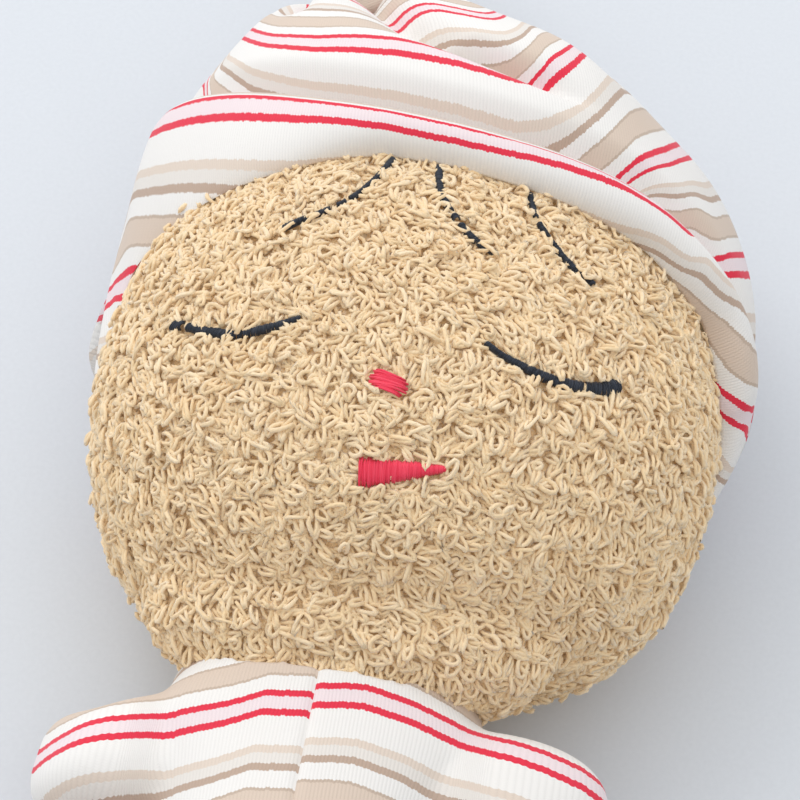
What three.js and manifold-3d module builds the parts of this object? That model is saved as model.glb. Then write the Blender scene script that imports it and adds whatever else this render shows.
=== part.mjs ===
// Cuddle doll with a terry face, hands and feet and a striped jersey cap and suit, lying on its back.
// All lengths are millimetres and angles are degrees.
// +Z is up out of the face, +Y runs from the feet to the head and +X to the doll's own left.
// Places along Y are counted from the collar, and the finished doll is then centred over the floor.
import * as THREE from 'three';
import { mergeVertices } from 'three/addons/utils/BufferGeometryUtils.js';
import Module from 'manifold-3d';

// Cloth and clearances
const terryThickness = 3.0;
const jerseyThickness = 1.2;
const seamGap = 0.3;
const jointGap = 0.7;
const neckGap = 0.9;
const pressedDepth = 0.5;

// Head
const headWidth = 128;
const headTop = 81;
const chinPlace = 6;
const headLength = 136;
const headWidestAt = 58;
const headOffset = 6.5;
const headOffsetReached = 15;
const cheekFullness = 2.2;
const crownHeight = 37;
const throatWidth = 55;
const throatThickness = 42;
const neckWidth = 58;
const neckThickness = 40;
const neckHeight = 27;
const neckPivotDepth = 6;

// Face embroidery
const faceOffset = 5;
const eyeSpread = 64;
const eyeLength = 27;
const eyePlace = 52.5;
const eyeDroop = 4.5;
const eyeThreadWidth = 1.9;
const hairPlace = 84;
const leftHairAcross = 21.6;
const middleHairAcross = 2.4;
const rightHairAcross = -7.2;
const hairLength = 20;
const hairSweep = 15;
const rightHairSweep = -18;
const hairThreadWidth = 1.7;
const nosePlace = 39;
const noseWidth = 7.4;
const noseLength = 5;
const noseBluntness = 0.18;
const mouthPlace = 22.5;
const mouthOffset = 5.5;
const mouthWidth = 16.4;
const mouthDepth = 5.6;
const mouthRise = 1.4;
const mouthPointWidth = 0.7;
const stitchThickness = 1.4;

// Cap
const capEase = 0.5;
const capLength = 165;
const capTipOffset = -14;
const capTipHeight = 36;
const capTipWidth = 19;
const capEdgeFront = 101;
const capEdgeBack = 30;
const capFullness = 2.1;
const capPuff = 4;
const capLean = 12.5;
const capLeanLateness = 2.2;
const capFoldCount = 6;
const capFoldDepth = 4;
const capCreaseAngle = 68;
const brimWidth = 15;
const brimThickness = 5.4;
const brimWrap = 196;
const brimRise = 6;
const knotWidth = 29;
const knotThickness = 24;
const knotLength = 22;
const knotTwist = 1.6;
const knotPinch = 0.09;
const tipLength = 28;
const tipRootWidth = 11;
const tipWidth = 25;
const tipThickness = 11;
const tipDroop = 14;
const tipBluntness = 4;

// Trunk
const trunkLength = 98;
const trunkMiddle = 25;
const collarWidth = 63;
const collarRise = 2;
const necklineDip = 14;
const shoulderWidth = 83;
const shoulderFall = 10;
const waistWidth = 58;
const waistDepth = 42;
const hipWidth = 63;
const seatLength = 24;
const chestTop = 49;
const bellyTop = 51;

// Arms
const armSpread = 84;
const armDrop = 21;
const armHeight = 21;
const shoulderBall = 26;
const shoulderThickness = 25;
const sleeveWidth = 22;
const sleeveRootThickness = 21;
const sleeveRootLength = 14;
const sleeveLength = 40;
const wristWidth = 19.5;
const handWidth = 23.5;
const handLength = 25;
const armSlope = 9;

// Legs
const legSpread = 32;
const legDrop = 106;
const legHeight = 22;
const hipBall = 28;
const legWidth = 25.5;
const legRootThickness = 19;
const legRootLength = 18;
const legLength = 38;
const ankleWidth = 22.5;
const footWidth = 27;
const footLength = 24;
const toeRise = 5;
const legSlope = 7;

// How quickly a hand or a foot swells out of its cuff, rounds off at its end and lifts its toes
const padSwelling = 2.2;
const padRounding = 1.7;
const toeLifting = 1.4;

// Fineness of the forms
const headSides = 24;
const headRings = 13;
const trunkSides = 20;
const trunkRings = 12;
const limbSides = 12;
const limbRings = 8;
const ballSides = 14;
const ballRings = 8;
const bandSteps = 22;
const brimSides = 10;
const brimEndShare = 0.03;
const knotSides = 14;
const knotRings = 8;
const capSides = 36;
const threadSteps = 9;
const threadSides = 6;

// Colours
const terryColour = 0xcdb07d;
const jerseyColour = 0xefe8e2;
const redThreadColour = 0xe23b57;
const darkThreadColour = 0x2b2f38;
const fillingColour = 0xf4f1ea;

const wasm = await Module();
wasm.setup();

// Small helpers for shapes
const radians = THREE.MathUtils.degToRad;
const mix = THREE.MathUtils.lerp;
const ease = (t) => THREE.MathUtils.smoothstep(t, 0, 1);
const within = (t) => Math.min(1, Math.max(0, t));

// Rises from 0 to 1 like a quarter of an ellipse, steep at first and level at the end
function swell(t, fullness = 2) {
  return (1 - (1 - within(t)) ** fullness) ** (1 / fullness);
}

function solidFrom(geometry) {
  const bare = geometry.clone();
  bare.deleteAttribute('normal');
  bare.deleteAttribute('uv');
  const merged = mergeVertices(bare, 1e-4);
  return new wasm.Manifold(new wasm.Mesh({
    numProp: 3,
    vertProperties: new Float32Array(merged.attributes.position.array),
    triVerts: new Uint32Array(merged.index.array),
  }));
}

function geometryFrom(solid) {
  const mesh = solid.getMesh();
  const geometry = new THREE.BufferGeometry();
  geometry.setAttribute('position', new THREE.BufferAttribute(mesh.vertProperties, 3));
  geometry.setIndex(new THREE.BufferAttribute(mesh.triVerts, 1));
  return geometry;
}

const union = (solids) => solids.reduce((whole, solid) => whole.add(solid));

// All space on the side of a point that the direction leads to
const reach = 600;
function halfSpace(point, direction) {
  const box = new THREE.BoxGeometry(reach, reach, reach);
  box.translate(0, 0, reach / 2);
  const turn = new THREE.Quaternion().setFromUnitVectors(
    new THREE.Vector3(0, 0, 1),
    new THREE.Vector3(...direction).normalize(),
  );
  box.applyQuaternion(turn);
  box.translate(...point);
  return solidFrom(box);
}

// The two parts of a skin on either side of a seam plane, with the seam gap between them
function splitAtSeam(solid, point, direction) {
  const half = seamGap / 2;
  const unit = new THREE.Vector3(...direction).normalize();
  const ahead = new THREE.Vector3(...point).addScaledVector(unit, half);
  const behind = new THREE.Vector3(...point).addScaledVector(unit, -half);
  const away = unit.clone().negate();
  return [
    solid.intersect(halfSpace(ahead.toArray(), unit.toArray())),
    solid.intersect(halfSpace(behind.toArray(), away.toArray())),
  ];
}

// What the doll lies on is pressed flat at the floor
const floor = pressedDepth;
const pressedFlat = (solid) => solid.intersect(halfSpace([0, 0, floor], [0, 0, 1]));

// A closed form through rings of points, with a single point at each end
function loftedForm(startPoint, rings, endPoint) {
  const sides = rings[0].length;
  const points = [startPoint, ...rings.flat(), endPoint];
  const last = points.length - 1;
  const at = (ring, side) => 1 + ring * sides + (side % sides);
  const faces = [];
  for (let side = 0; side < sides; side++) {
    faces.push(0, at(0, side), at(0, side + 1));
    for (let ring = 0; ring < rings.length - 1; ring++) {
      faces.push(at(ring, side), at(ring + 1, side), at(ring + 1, side + 1));
      faces.push(at(ring, side), at(ring + 1, side + 1), at(ring, side + 1));
    }
    faces.push(at(rings.length - 1, side), last, at(rings.length - 1, side + 1));
  }
  const geometry = new THREE.BufferGeometry().setFromPoints(points);
  geometry.setIndex(faces);
  return turnedOutward(geometry);
}

function turnedOutward(geometry) {
  const position = geometry.attributes.position;
  const index = geometry.index;
  const corners = [new THREE.Vector3(), new THREE.Vector3(), new THREE.Vector3()];
  let volume = 0;
  for (let i = 0; i < index.count; i += 3) {
    corners.forEach((corner, k) => corner.fromBufferAttribute(position, index.getX(i + k)));
    volume += corners[0].dot(corners[1].clone().cross(corners[2]));
  }
  if (volume < 0) {
    index.array.reverse();
  }
  return geometry;
}

// A point of a rounded section: the angle 0 is at +X and a quarter turn is at +Z
const roundness = 2.15;
const bulge = (value) => Math.sign(value) * Math.abs(value) ** (2 / roundness);
function sectionPoint(section, angle) {
  const rise = Math.sin(angle) >= 0 ? section.up : section.down;
  return new THREE.Vector3(
    section.x + bulge(Math.cos(angle)) * section.half,
    section.y,
    section.z + bulge(Math.sin(angle)) * rise,
  );
}

// A stuffed form of rounded sections along Y, with its rings closer together towards both ends
function stuffedForm(sectionAt, start, end, ringCount, sides) {
  const centre = (y) => new THREE.Vector3(sectionAt(y).x, y, sectionAt(y).z);
  const rings = [];
  for (let ring = 1; ring < ringCount; ring++) {
    const y = mix(start, end, (1 - Math.cos(Math.PI * ring / ringCount)) / 2);
    const section = { y, ...sectionAt(y) };
    const points = [];
    for (let side = 0; side < sides; side++) {
      points.push(sectionPoint(section, 2 * Math.PI * side / sides));
    }
    rings.push(points);
  }
  return loftedForm(centre(start), rings, centre(end));
}

// A rounded band or thread that follows frames of a centre, two directions and two half sizes
function sweptForm(frames, sides) {
  const rings = frames.slice(1, -1).map((frame) => {
    const points = [];
    for (let side = 0; side < sides; side++) {
      const angle = 2 * Math.PI * side / sides;
      points.push(frame.centre.clone()
        .addScaledVector(frame.across, Math.cos(angle) * frame.halfWidth)
        .addScaledVector(frame.out, Math.sin(angle) * frame.halfThickness));
    }
    return points;
  });
  return loftedForm(frames[0].centre, rings, frames[frames.length - 1].centre);
}

// The same form with every point moved inward along its normal
function inset(geometry, depth) {
  const inner = geometry.clone();
  inner.computeVertexNormals();
  const position = inner.attributes.position;
  const normal = inner.attributes.normal;
  for (let i = 0; i < position.count; i++) {
    const point = new THREE.Vector3().fromBufferAttribute(position, i);
    point.addScaledVector(new THREE.Vector3().fromBufferAttribute(normal, i), -depth);
    position.setXYZ(i, ...point.toArray());
  }
  inner.deleteAttribute('normal');
  return inner;
}

const insetUnion = (forms, depth) => union(forms.map((form) => solidFrom(inset(form, depth))));

// A cloth skin of one thickness over the union of some forms, and the filling inside it
const skinOver = (forms, thickness) => insetUnion(forms, 0).subtract(insetUnion(forms, thickness));
const fillingUnder = (forms, thickness) => insetUnion(forms, thickness + seamGap);

function ellipsoid(centre, halfSizes, sides, rings) {
  const ball = new THREE.SphereGeometry(1, sides, rings);
  const welded = mergeVertices(withoutExtras(ball), 1e-4);
  welded.scale(...halfSizes);
  welded.translate(...centre);
  return welded;
}

function withoutExtras(geometry) {
  geometry.deleteAttribute('normal');
  geometry.deleteAttribute('uv');
  return geometry;
}

// Head: a wide ball that swells out of the throat and closes at the crown, over the cap's own layer
const capLayer = capEase + seamGap + jerseyThickness;
function headSection(y) {
  const belowWidest = y < headWidestAt;
  const share = belowWidest
    ? swell((y - chinPlace) / (headWidestAt - chinPlace), cheekFullness)
    : swell((headLength - y) / (headLength - headWidestAt));
  const endHalf = belowWidest ? throatWidth / 2 : 0;
  const endTop = belowWidest ? neckHeight + throatThickness / 2 : crownHeight;
  const endUnder = belowWidest ? neckHeight - throatThickness / 2 : crownHeight;
  const z = mix(neckHeight, crownHeight, ease(y / headWidestAt));
  return {
    x: headOffset * ease(y / headOffsetReached),
    z,
    half: mix(endHalf, headWidth / 2, share),
    up: mix(endTop, headTop, share) - z,
    down: z - mix(endUnder, capLayer, share),
  };
}

// Neck: a rounded plug that turns about X inside the collar
const neckCentre = [0, -neckPivotDepth, neckHeight];
function neckBall(clearance) {
  const radius = neckThickness / 2 + clearance;
  return ellipsoid(neckCentre, [neckWidth / 2 + clearance, radius, radius], ballSides + 4, ballRings + 2);
}

const headBall = stuffedForm(headSection, chinPlace, headLength, headRings, headSides);
const roundHead = (clearance) => solidFrom(inset(headBall, -clearance));

function headPieces() {
  const forms = [headBall, neckBall(0)];
  const seam = [0, 0, (neckHeight + crownHeight) / 2];
  const [front, back] = splitAtSeam(skinOver(forms, terryThickness), seam, [0, 0, 1]);
  return { front, back, filling: fillingUnder(forms, terryThickness) };
}

// The height of the terry at a place on the face, the way out of it and a point over it
function faceHeight(x, y) {
  const section = headSection(y);
  const across = within(Math.abs(x - section.x) / section.half);
  return section.z + section.up * (1 - across ** roundness) ** (1 / roundness);
}

const probe = 0.5;
function faceNormal(x, y) {
  const slopeX = (faceHeight(x + probe, y) - faceHeight(x - probe, y)) / (2 * probe);
  const slopeY = (faceHeight(x, y + probe) - faceHeight(x, y - probe)) / (2 * probe);
  return new THREE.Vector3(-slopeX, -slopeY, 1).normalize();
}

function facePoint(x, y, lift) {
  return new THREE.Vector3(x, y, faceHeight(x, y)).addScaledVector(faceNormal(x, y), lift);
}

// A line of satin stitches over the face along a path of [x, y] places, with its width at each
function stitchedLine(pathAt, widthAt, steps) {
  const lift = seamGap + stitchThickness / 2;
  const frames = [];
  for (let step = 0; step <= steps; step++) {
    const t = step / steps;
    const [x, y] = pathAt(t);
    const [beforeX, beforeY] = pathAt(t - 0.01);
    const [afterX, afterY] = pathAt(t + 0.01);
    const along = facePoint(afterX, afterY, lift).sub(facePoint(beforeX, beforeY, lift)).normalize();
    const out = faceNormal(x, y);
    frames.push({
      centre: facePoint(x, y, lift),
      out,
      across: out.clone().cross(along).normalize(),
      halfWidth: widthAt(t) / 2,
      halfThickness: stitchThickness / 2,
    });
  }
  return solidFrom(sweptForm(frames, threadSides)).subtract(roundHead(seamGap));
}

// A closed eye: a shallow bow of dark stitches that hangs between its two ends
function eye(side) {
  const path = (t) => {
    const s = 2 * t - 1;
    const x = faceOffset + side * eyeSpread / 2 + s * eyeLength / 2;
    return [x, eyePlace - eyeDroop * (1 - s * s)];
  };
  return stitchedLine(path, () => eyeThreadWidth, threadSteps);
}

// A strand of hair that starts under the brim and sweeps outward
function hairStrand(across, sweep) {
  const path = (t) => [
    faceOffset + across + sweep * t * mix(0.5, 1, t),
    hairPlace + hairLength * (0.5 - t),
  ];
  return stitchedLine(path, () => hairThreadWidth, threadSteps);
}

function nose() {
  const path = (t) => [faceOffset + noseWidth * (t - 0.5), nosePlace];
  const width = (t) => noseLength * Math.sin(Math.PI * mix(noseBluntness, 1 - noseBluntness, t));
  return stitchedLine(path, width, threadSteps);
}

// The mouth is a wedge, deep at the doll's right and running out to a point at its left
function mouth() {
  const start = faceOffset + mouthOffset - mouthWidth / 2;
  const path = (t) => [start + mouthWidth * t, mouthPlace + mouthRise * t];
  const width = (t) => mix(mouthDepth, mouthPointWidth, t);
  return stitchedLine(path, width, threadSteps);
}

// Cap: it follows the head, then puffs over the brim and gathers to its knot in soft folds
function capSection(y) {
  const head = headSection(Math.min(y, headWidestAt));
  const drawn = (y - headWidestAt) / (capLength - headWidestAt);
  const share = y < headWidestAt ? 1 : swell(1 - drawn, capFullness);
  const z = mix(head.z, capTipHeight, ease(drawn));
  const tip = capTipWidth / 2;
  const along = within((y - capEdgeBack) / (capLength - capEdgeBack));
  const puff = Math.sin(Math.PI * along);
  const lean = Math.sin(Math.PI * along ** capLeanLateness);
  return {
    x: mix(head.x, capTipOffset, ease(drawn)) + capLean * lean,
    z,
    half: mix(tip, head.half + capLayer, share) + capPuff * puff,
    up: mix(capTipHeight + tip, head.z + head.up + capLayer, share) - z,
    down: z - mix(capTipHeight - tip, head.z - head.down - capLayer, share),
  };
}

function capPoint(angle, y) {
  const point = sectionPoint({ y, ...capSection(y) }, angle);
  const gathered = ease((y - headWidestAt) / (capLength - headWidestAt));
  const turn = capFoldCount * (angle - radians(capCreaseAngle));
  const fold = capFoldDepth * gathered * (1 + Math.cos(turn)) / 2;
  const section = capSection(y);
  const inward = new THREE.Vector3(section.x - point.x, 0, section.z - point.z).normalize();
  return point.addScaledVector(inward, fold);
}

// The cap's edge lies in a plane that slopes from the forehead down to the nape
const capEdgeSlope = (capEdgeFront - capEdgeBack) / headTop;
const capEdgePlane = [[0, capEdgeBack, 0], [0, 1, -capEdgeSlope]];

function capForm() {
  const rings = [];
  const first = capEdgeBack - brimWidth;
  for (let ring = 1; ring < headRings; ring++) {
    const y = mix(first, capLength, Math.sin(Math.PI / 2 * ring / headRings));
    const points = [];
    for (let side = 0; side < capSides; side++) {
      points.push(capPoint(2 * Math.PI * side / capSides, y));
    }
    rings.push(points);
  }
  const centre = (y) => new THREE.Vector3(capSection(y).x, y, capSection(y).z);
  return loftedForm(centre(first), rings, centre(capLength));
}

function capCrown() {
  const skin = skinOver([capForm()], jerseyThickness).subtract(roundHead(seamGap));
  return pressedFlat(skin.intersect(halfSpace(...capEdgePlane)));
}

// Where the brim's middle line crosses the cap at an angle, found in small steps
function brimPlace(angle) {
  const passes = 12;
  const settling = 0.6;
  let y = capEdgeFront;
  for (let pass = 0; pass < passes; pass++) {
    y = mix(y, capEdgeBack + brimRise + capEdgeSlope * capPoint(angle, y).z, settling);
  }
  return y;
}

// The brim: the cap's edge rolled up over the forehead, thinning out towards the pillow
function capBrim() {
  const frames = [];
  const start = 90 - brimWrap / 2;
  for (let step = 0; step <= bandSteps; step++) {
    const angle = radians(start + brimWrap * step / bandSteps);
    const y = brimPlace(angle);
    const along = capPoint(angle, y + probe).sub(capPoint(angle, y - probe)).normalize();
    const around = capPoint(angle + 0.01, y).sub(capPoint(angle - 0.01, y)).normalize();
    const out = along.clone().cross(around).normalize();
    const fullness = Math.sqrt(Math.sin(Math.PI * mix(brimEndShare, 1 - brimEndShare, step / bandSteps)));
    const halfThickness = brimThickness / 2 * fullness;
    frames.push({
      centre: capPoint(angle, y).addScaledVector(out, halfThickness / 2),
      across: along,
      out,
      halfWidth: brimWidth / 2 * fullness,
      halfThickness,
    });
  }
  const band = solidFrom(sweptForm(frames, brimSides));
  const cap = solidFrom(inset(capForm(), -seamGap));
  return band.subtract(cap).subtract(roundHead(seamGap));
}

// The knot that closes the cap, and the free end of cloth beyond it
const knotPlace = [capTipOffset, capLength + seamGap + knotLength / 2, capTipHeight];
const tipPivot = [capTipOffset, capLength + seamGap + knotLength + 1, capTipHeight];
const tipBall = (clearance) => {
  const radius = tipRootWidth / 2 + clearance;
  return ellipsoid(tipPivot, [radius, radius, radius], ballSides, ballRings);
};

function capKnot() {
  const rings = [];
  for (let ring = 1; ring < knotRings; ring++) {
    const tilt = Math.PI * ring / knotRings;
    const points = [];
    for (let side = 0; side < knotSides; side++) {
      const angle = 2 * Math.PI * side / knotSides;
      const lobes = 1 - knotPinch * (1 + Math.cos(2 * angle + knotTwist * tilt));
      points.push(new THREE.Vector3(
        knotPlace[0] + Math.cos(angle) * Math.sin(tilt) * knotWidth / 2 * lobes,
        knotPlace[1] - Math.cos(tilt) * knotLength / 2,
        knotPlace[2] + Math.sin(angle) * Math.sin(tilt) * knotThickness / 2 * lobes,
      ));
    }
    rings.push(points);
  }
  const end = (sign) => new THREE.Vector3(knotPlace[0], knotPlace[1] + sign * knotLength / 2, knotPlace[2]);
  const knot = solidFrom(loftedForm(end(-1), rings, end(1)));
  return knot.subtract(solidFrom(tipBall(jointGap)));
}

function capTip() {
  const section = (y) => {
    const t = within(y / tipLength);
    const closing = swell((1 - t) * tipBluntness);
    return {
      x: 0,
      z: 0,
      half: mix(tipRootWidth, tipWidth, ease(t)) / 2 * closing,
      up: mix(tipRootWidth, tipThickness, t) / 2 * closing,
      down: mix(tipRootWidth, tipThickness, t) / 2 * closing,
    };
  };
  const cloth = stuffedForm(section, 0, tipLength, limbRings, limbSides);
  cloth.rotateX(radians(-tipDroop));
  cloth.translate(...tipPivot);
  return solidFrom(cloth).add(solidFrom(tipBall(0)));
}

// Trunk: sloping shoulders, a slight waist and a rounded seat
function trunkSection(y) {
  const depth = collarRise - y;
  const half = depth < shoulderFall
    ? mix(collarWidth, shoulderWidth, depth / shoulderFall) / 2
    : depth < waistDepth
      ? mix(shoulderWidth, waistWidth, ease((depth - shoulderFall) / (waistDepth - shoulderFall))) / 2
      : mix(waistWidth, hipWidth, ease((depth - waistDepth) / (trunkLength - waistDepth))) / 2;
  const seat = swell((trunkLength + y) / seatLength);
  const collarTop = neckHeight + neckThickness / 2 + neckGap + jerseyThickness;
  const collarUnder = neckHeight - neckThickness / 2 - neckGap - jerseyThickness;
  const chest = mix(collarTop, chestTop, ease(depth / shoulderFall));
  const top = mix(chest, bellyTop, ease((depth - shoulderFall) / waistDepth));
  const under = mix(collarUnder, 0, ease(depth / (2 * shoulderFall)));
  return {
    x: 0,
    z: trunkMiddle,
    half: half * seat,
    up: (top - trunkMiddle) * seat,
    down: (trunkMiddle - under) * seat,
  };
}

// Balls at the roots of the limbs: an arm turns about Z and a leg about X
function shoulderForm(side, clearance) {
  const radius = shoulderBall / 2 + clearance;
  const centre = [side * armSpread / 2, -armDrop, armHeight];
  return ellipsoid(centre, [radius, radius, shoulderThickness / 2 + clearance], ballSides, ballRings);
}

function hipForm(side, clearance) {
  const radius = hipBall / 2 + clearance;
  return ellipsoid([side * legSpread / 2, -legDrop, legHeight], [radius, radius, radius], ballSides, ballRings);
}

// The neckline is scooped in front and at the nape, so that the throat can nod over it
function necklineCutter() {
  const scoop = new THREE.CylinderGeometry(1, 1, reach, 28);
  scoop.rotateX(Math.PI / 2);
  scoop.scale(neckWidth / 2 + neckGap, necklineDip + collarRise, 1);
  scoop.translate(0, collarRise, 0);
  return solidFrom(scoop);
}

function trunkPieces(limbs) {
  const form = stuffedForm(trunkSection, collarRise, -trunkLength, trunkRings, trunkSides);
  const sockets = union([
    solidFrom(neckBall(neckGap)),
    necklineCutter(),
    ...[-1, 1].map((side) => solidFrom(shoulderForm(side, jointGap))),
    ...[-1, 1].map((side) => solidFrom(hipForm(side, jointGap))),
    ...limbs.map((limb) => limb.clearance),
  ]);
  const skin = pressedFlat(skinOver([form], jerseyThickness)).subtract(sockets);
  const [front, back] = splitAtSeam(skin, [0, 0, trunkMiddle], [0, 0, 1]);
  const [frontLeft, frontRight] = splitAtSeam(front, [0, 0, 0], [1, 0, 0]);
  const [backLeft, backRight] = splitAtSeam(back, [0, 0, 0], [1, 0, 0]);
  const filling = fillingUnder([form], jerseyThickness).subtract(sockets);
  return { frontLeft, frontRight, backLeft, backRight, filling };
}

// A limb hangs along -Y from its root: a jersey tube that ends in a terry mitten or bootee
function limbPieces(limb) {
  const tubeSection = (y) => {
    const half = mix(limb.rootWidth, limb.cuffWidth, ease(-y / limb.tubeLength)) / 2;
    const thickness = mix(limb.rootThickness / 2, half, ease(-y / limb.rootLength));
    return { x: 0, z: 0, half, up: thickness, down: thickness };
  };
  const padSection = (y) => {
    const t = within((-y - limb.tubeLength) / limb.padLength);
    const round = swell((1 - t) * padRounding);
    const half = mix(limb.cuffWidth, limb.padWidth, swell(t * padSwelling)) / 2 * round;
    return { x: 0, z: 0, half, up: half + limb.padRise * ease(t * toeLifting) * round, down: half };
  };
  const tuckedIn = terryThickness * 2;
  const hungFromRoot = (form) => {
    form.rotateX(radians(limb.slope));
    form.translate(...limb.root);
    return form;
  };
  const tube = hungFromRoot(stuffedForm(tubeSection, 0, -limb.tubeLength - tuckedIn, limbRings, limbSides));
  const padStart = -limb.tubeLength + tuckedIn;
  const padEnd = -limb.tubeLength - limb.padLength;
  const clearance = solidFrom(inset(tube, -jointGap));
  const pad = hungFromRoot(stuffedForm(padSection, padStart, padEnd, limbRings, limbSides));
  const downLimb = new THREE.Vector3(0, -1, 0).applyAxisAngle(new THREE.Vector3(1, 0, 0), radians(limb.slope));
  const cuff = new THREE.Vector3(...limb.root).addScaledVector(downLimb, limb.tubeLength);
  const tubeForms = [tube, limb.ball];
  const [, tubeSkin] = splitAtSeam(skinOver(tubeForms, jerseyThickness), cuff.toArray(), downLimb.toArray());
  const [padSkin] = splitAtSeam(skinOver([pad], terryThickness), cuff.toArray(), downLimb.toArray());
  const beforeCuff = cuff.clone().addScaledVector(downLimb, -seamGap);
  const tubeFilling = fillingUnder(tubeForms, jerseyThickness)
    .intersect(halfSpace(beforeCuff.toArray(), downLimb.clone().negate().toArray()));
  const filling = tubeFilling.add(fillingUnder([pad], terryThickness));
  return { tubeSkin, padSkin, filling, clearance };
}

function armPieces(side) {
  return limbPieces({
    root: [side * armSpread / 2, -armDrop, armHeight],
    ball: shoulderForm(side, 0),
    rootWidth: sleeveWidth,
    rootThickness: sleeveRootThickness,
    rootLength: sleeveRootLength,
    cuffWidth: wristWidth,
    tubeLength: sleeveLength,
    padWidth: handWidth,
    padLength: handLength,
    padRise: 0,
    slope: armSlope,
  });
}

function legPieces(side) {
  return limbPieces({
    root: [side * legSpread / 2, -legDrop, legHeight],
    ball: hipForm(side, 0),
    rootWidth: legWidth,
    rootThickness: legRootThickness,
    rootLength: legRootLength,
    cuffWidth: ankleWidth,
    tubeLength: legLength,
    padWidth: footWidth,
    padLength: footLength,
    padRise: toeRise,
    slope: legSlope,
  });
}

// Materials
const cloth = (color, roughness) => new THREE.MeshStandardMaterial({ color, roughness, metalness: 0 });
const terry = () => cloth(terryColour, 0.95);
const jersey = () => cloth(jerseyColour, 0.85);
const redThread = () => cloth(redThreadColour, 0.55);
const darkThread = () => cloth(darkThreadColour, 0.6);
const fibreFilling = () => cloth(fillingColour, 1);

const doll = new THREE.Group();

function place(group, name, solid, material) {
  const mesh = new THREE.Mesh(geometryFrom(solid), material);
  mesh.name = name;
  group.add(mesh);
}

function addHead() {
  const head = new THREE.Group();
  const { front, back, filling } = headPieces();
  place(head, 'face_panel', front, terry());
  place(head, 'head_back_panel', back, terry());
  place(head, 'head_filling', filling, fibreFilling());
  place(head, 'left_eye', eye(1), darkThread());
  place(head, 'right_eye', eye(-1), darkThread());
  place(head, 'left_hair_strand', hairStrand(leftHairAcross, hairSweep), darkThread());
  place(head, 'middle_hair_strand', hairStrand(middleHairAcross, hairSweep), darkThread());
  place(head, 'right_hair_strand', hairStrand(rightHairAcross, rightHairSweep), darkThread());
  place(head, 'nose', nose(), redThread());
  place(head, 'mouth', mouth(), redThread());
  place(head, 'cap_crown', capCrown(), jersey());
  place(head, 'cap_brim', capBrim(), jersey());
  place(head, 'cap_knot', capKnot(), jersey());
  place(head, 'cap_tip', capTip(), jersey());
  doll.add(head);
}

function addTrunk(limbs) {
  const trunk = new THREE.Group();
  const { frontLeft, frontRight, backLeft, backRight, filling } = trunkPieces(limbs);
  place(trunk, 'left_front_panel', frontLeft, jersey());
  place(trunk, 'right_front_panel', frontRight, jersey());
  place(trunk, 'left_back_panel', backLeft, jersey());
  place(trunk, 'right_back_panel', backRight, jersey());
  place(trunk, 'trunk_filling', filling, fibreFilling());
  doll.add(trunk);
}

function addLimb(limb, tubeName, padName, fillingName) {
  const group = new THREE.Group();
  place(group, tubeName, limb.tubeSkin, jersey());
  place(group, padName, limb.padSkin, terry());
  place(group, fillingName, limb.filling, fibreFilling());
  doll.add(group);
  return limb;
}

addHead();
addTrunk([
  addLimb(armPieces(1), 'left_sleeve', 'left_hand', 'left_arm_filling'),
  addLimb(armPieces(-1), 'right_sleeve', 'right_hand', 'right_arm_filling'),
  addLimb(legPieces(1), 'left_leg', 'left_foot', 'left_leg_filling'),
  addLimb(legPieces(-1), 'right_leg', 'right_foot', 'right_leg_filling'),
]);

// The origin is on the floor, under the middle of the doll's box
const box = new THREE.Box3().setFromObject(doll);
const middle = box.getCenter(new THREE.Vector3());
doll.position.set(-middle.x, -middle.y, -box.min.z);

export default doll;
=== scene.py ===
# %% [markdown]
# # A cuddle doll in terry and striped jersey
# The doll lies on its back. Its face, hands and feet are loop terry, its cap and suit are striped jersey,
# and its features are satin stitch. The CAD model gives the sizes and the places. This lesson gives the
# doll its looks: each loop of the terry, each stitch of the face and each stripe of the knit.
# Lengths are millimetres from the collar, as a maker would measure them, and become metres in the last step.

# %% The frame
import math
import bpy
import numpy as np
from mathutils import Matrix, Vector
from mathutils.kdtree import KDTree


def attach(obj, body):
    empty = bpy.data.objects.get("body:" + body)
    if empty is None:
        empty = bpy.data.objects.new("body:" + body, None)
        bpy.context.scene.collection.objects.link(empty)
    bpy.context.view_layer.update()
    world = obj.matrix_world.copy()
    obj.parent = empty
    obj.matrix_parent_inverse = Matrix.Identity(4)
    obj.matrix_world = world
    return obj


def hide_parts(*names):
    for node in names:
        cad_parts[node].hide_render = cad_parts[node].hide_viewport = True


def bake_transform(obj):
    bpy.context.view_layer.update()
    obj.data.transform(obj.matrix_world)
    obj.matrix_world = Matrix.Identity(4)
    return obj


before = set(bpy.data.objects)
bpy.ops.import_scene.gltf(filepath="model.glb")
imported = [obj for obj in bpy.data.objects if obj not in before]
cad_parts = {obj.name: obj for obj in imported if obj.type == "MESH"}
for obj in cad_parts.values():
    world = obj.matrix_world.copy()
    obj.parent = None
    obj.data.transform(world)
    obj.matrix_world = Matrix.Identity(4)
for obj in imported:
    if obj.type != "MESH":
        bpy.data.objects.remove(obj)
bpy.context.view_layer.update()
COLLAR_IN_ROW = np.array([-8.4323, -23.9652, -0.5])


def metres(points):
    """Places in mm from the collar, as places in metres in the row's frame."""
    return (np.asarray(points, float) + COLLAR_IN_ROW) / 1000


def from_collar(points):
    """The same the other way round."""
    return np.asarray(points, float) * 1000 - COLLAR_IN_ROW


# %% [markdown]
# Small helpers come next. A mesh is read and written as one array of places, which is how a form with
# thousands of points is sculpted by rule. Everything is deselected before a primitive is added. Curves that
# ease, swell or mix two values are used from here to the end.

# %% Reading and writing a mesh
def read_points(piece):
    flat = np.empty(len(piece.data.vertices) * 3)
    piece.data.vertices.foreach_get("co", flat)
    return from_collar(flat.reshape(-1, 3))


def write_points(piece, points):
    piece.data.vertices.foreach_set("co", metres(points).ravel())
    piece.data.update()


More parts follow.
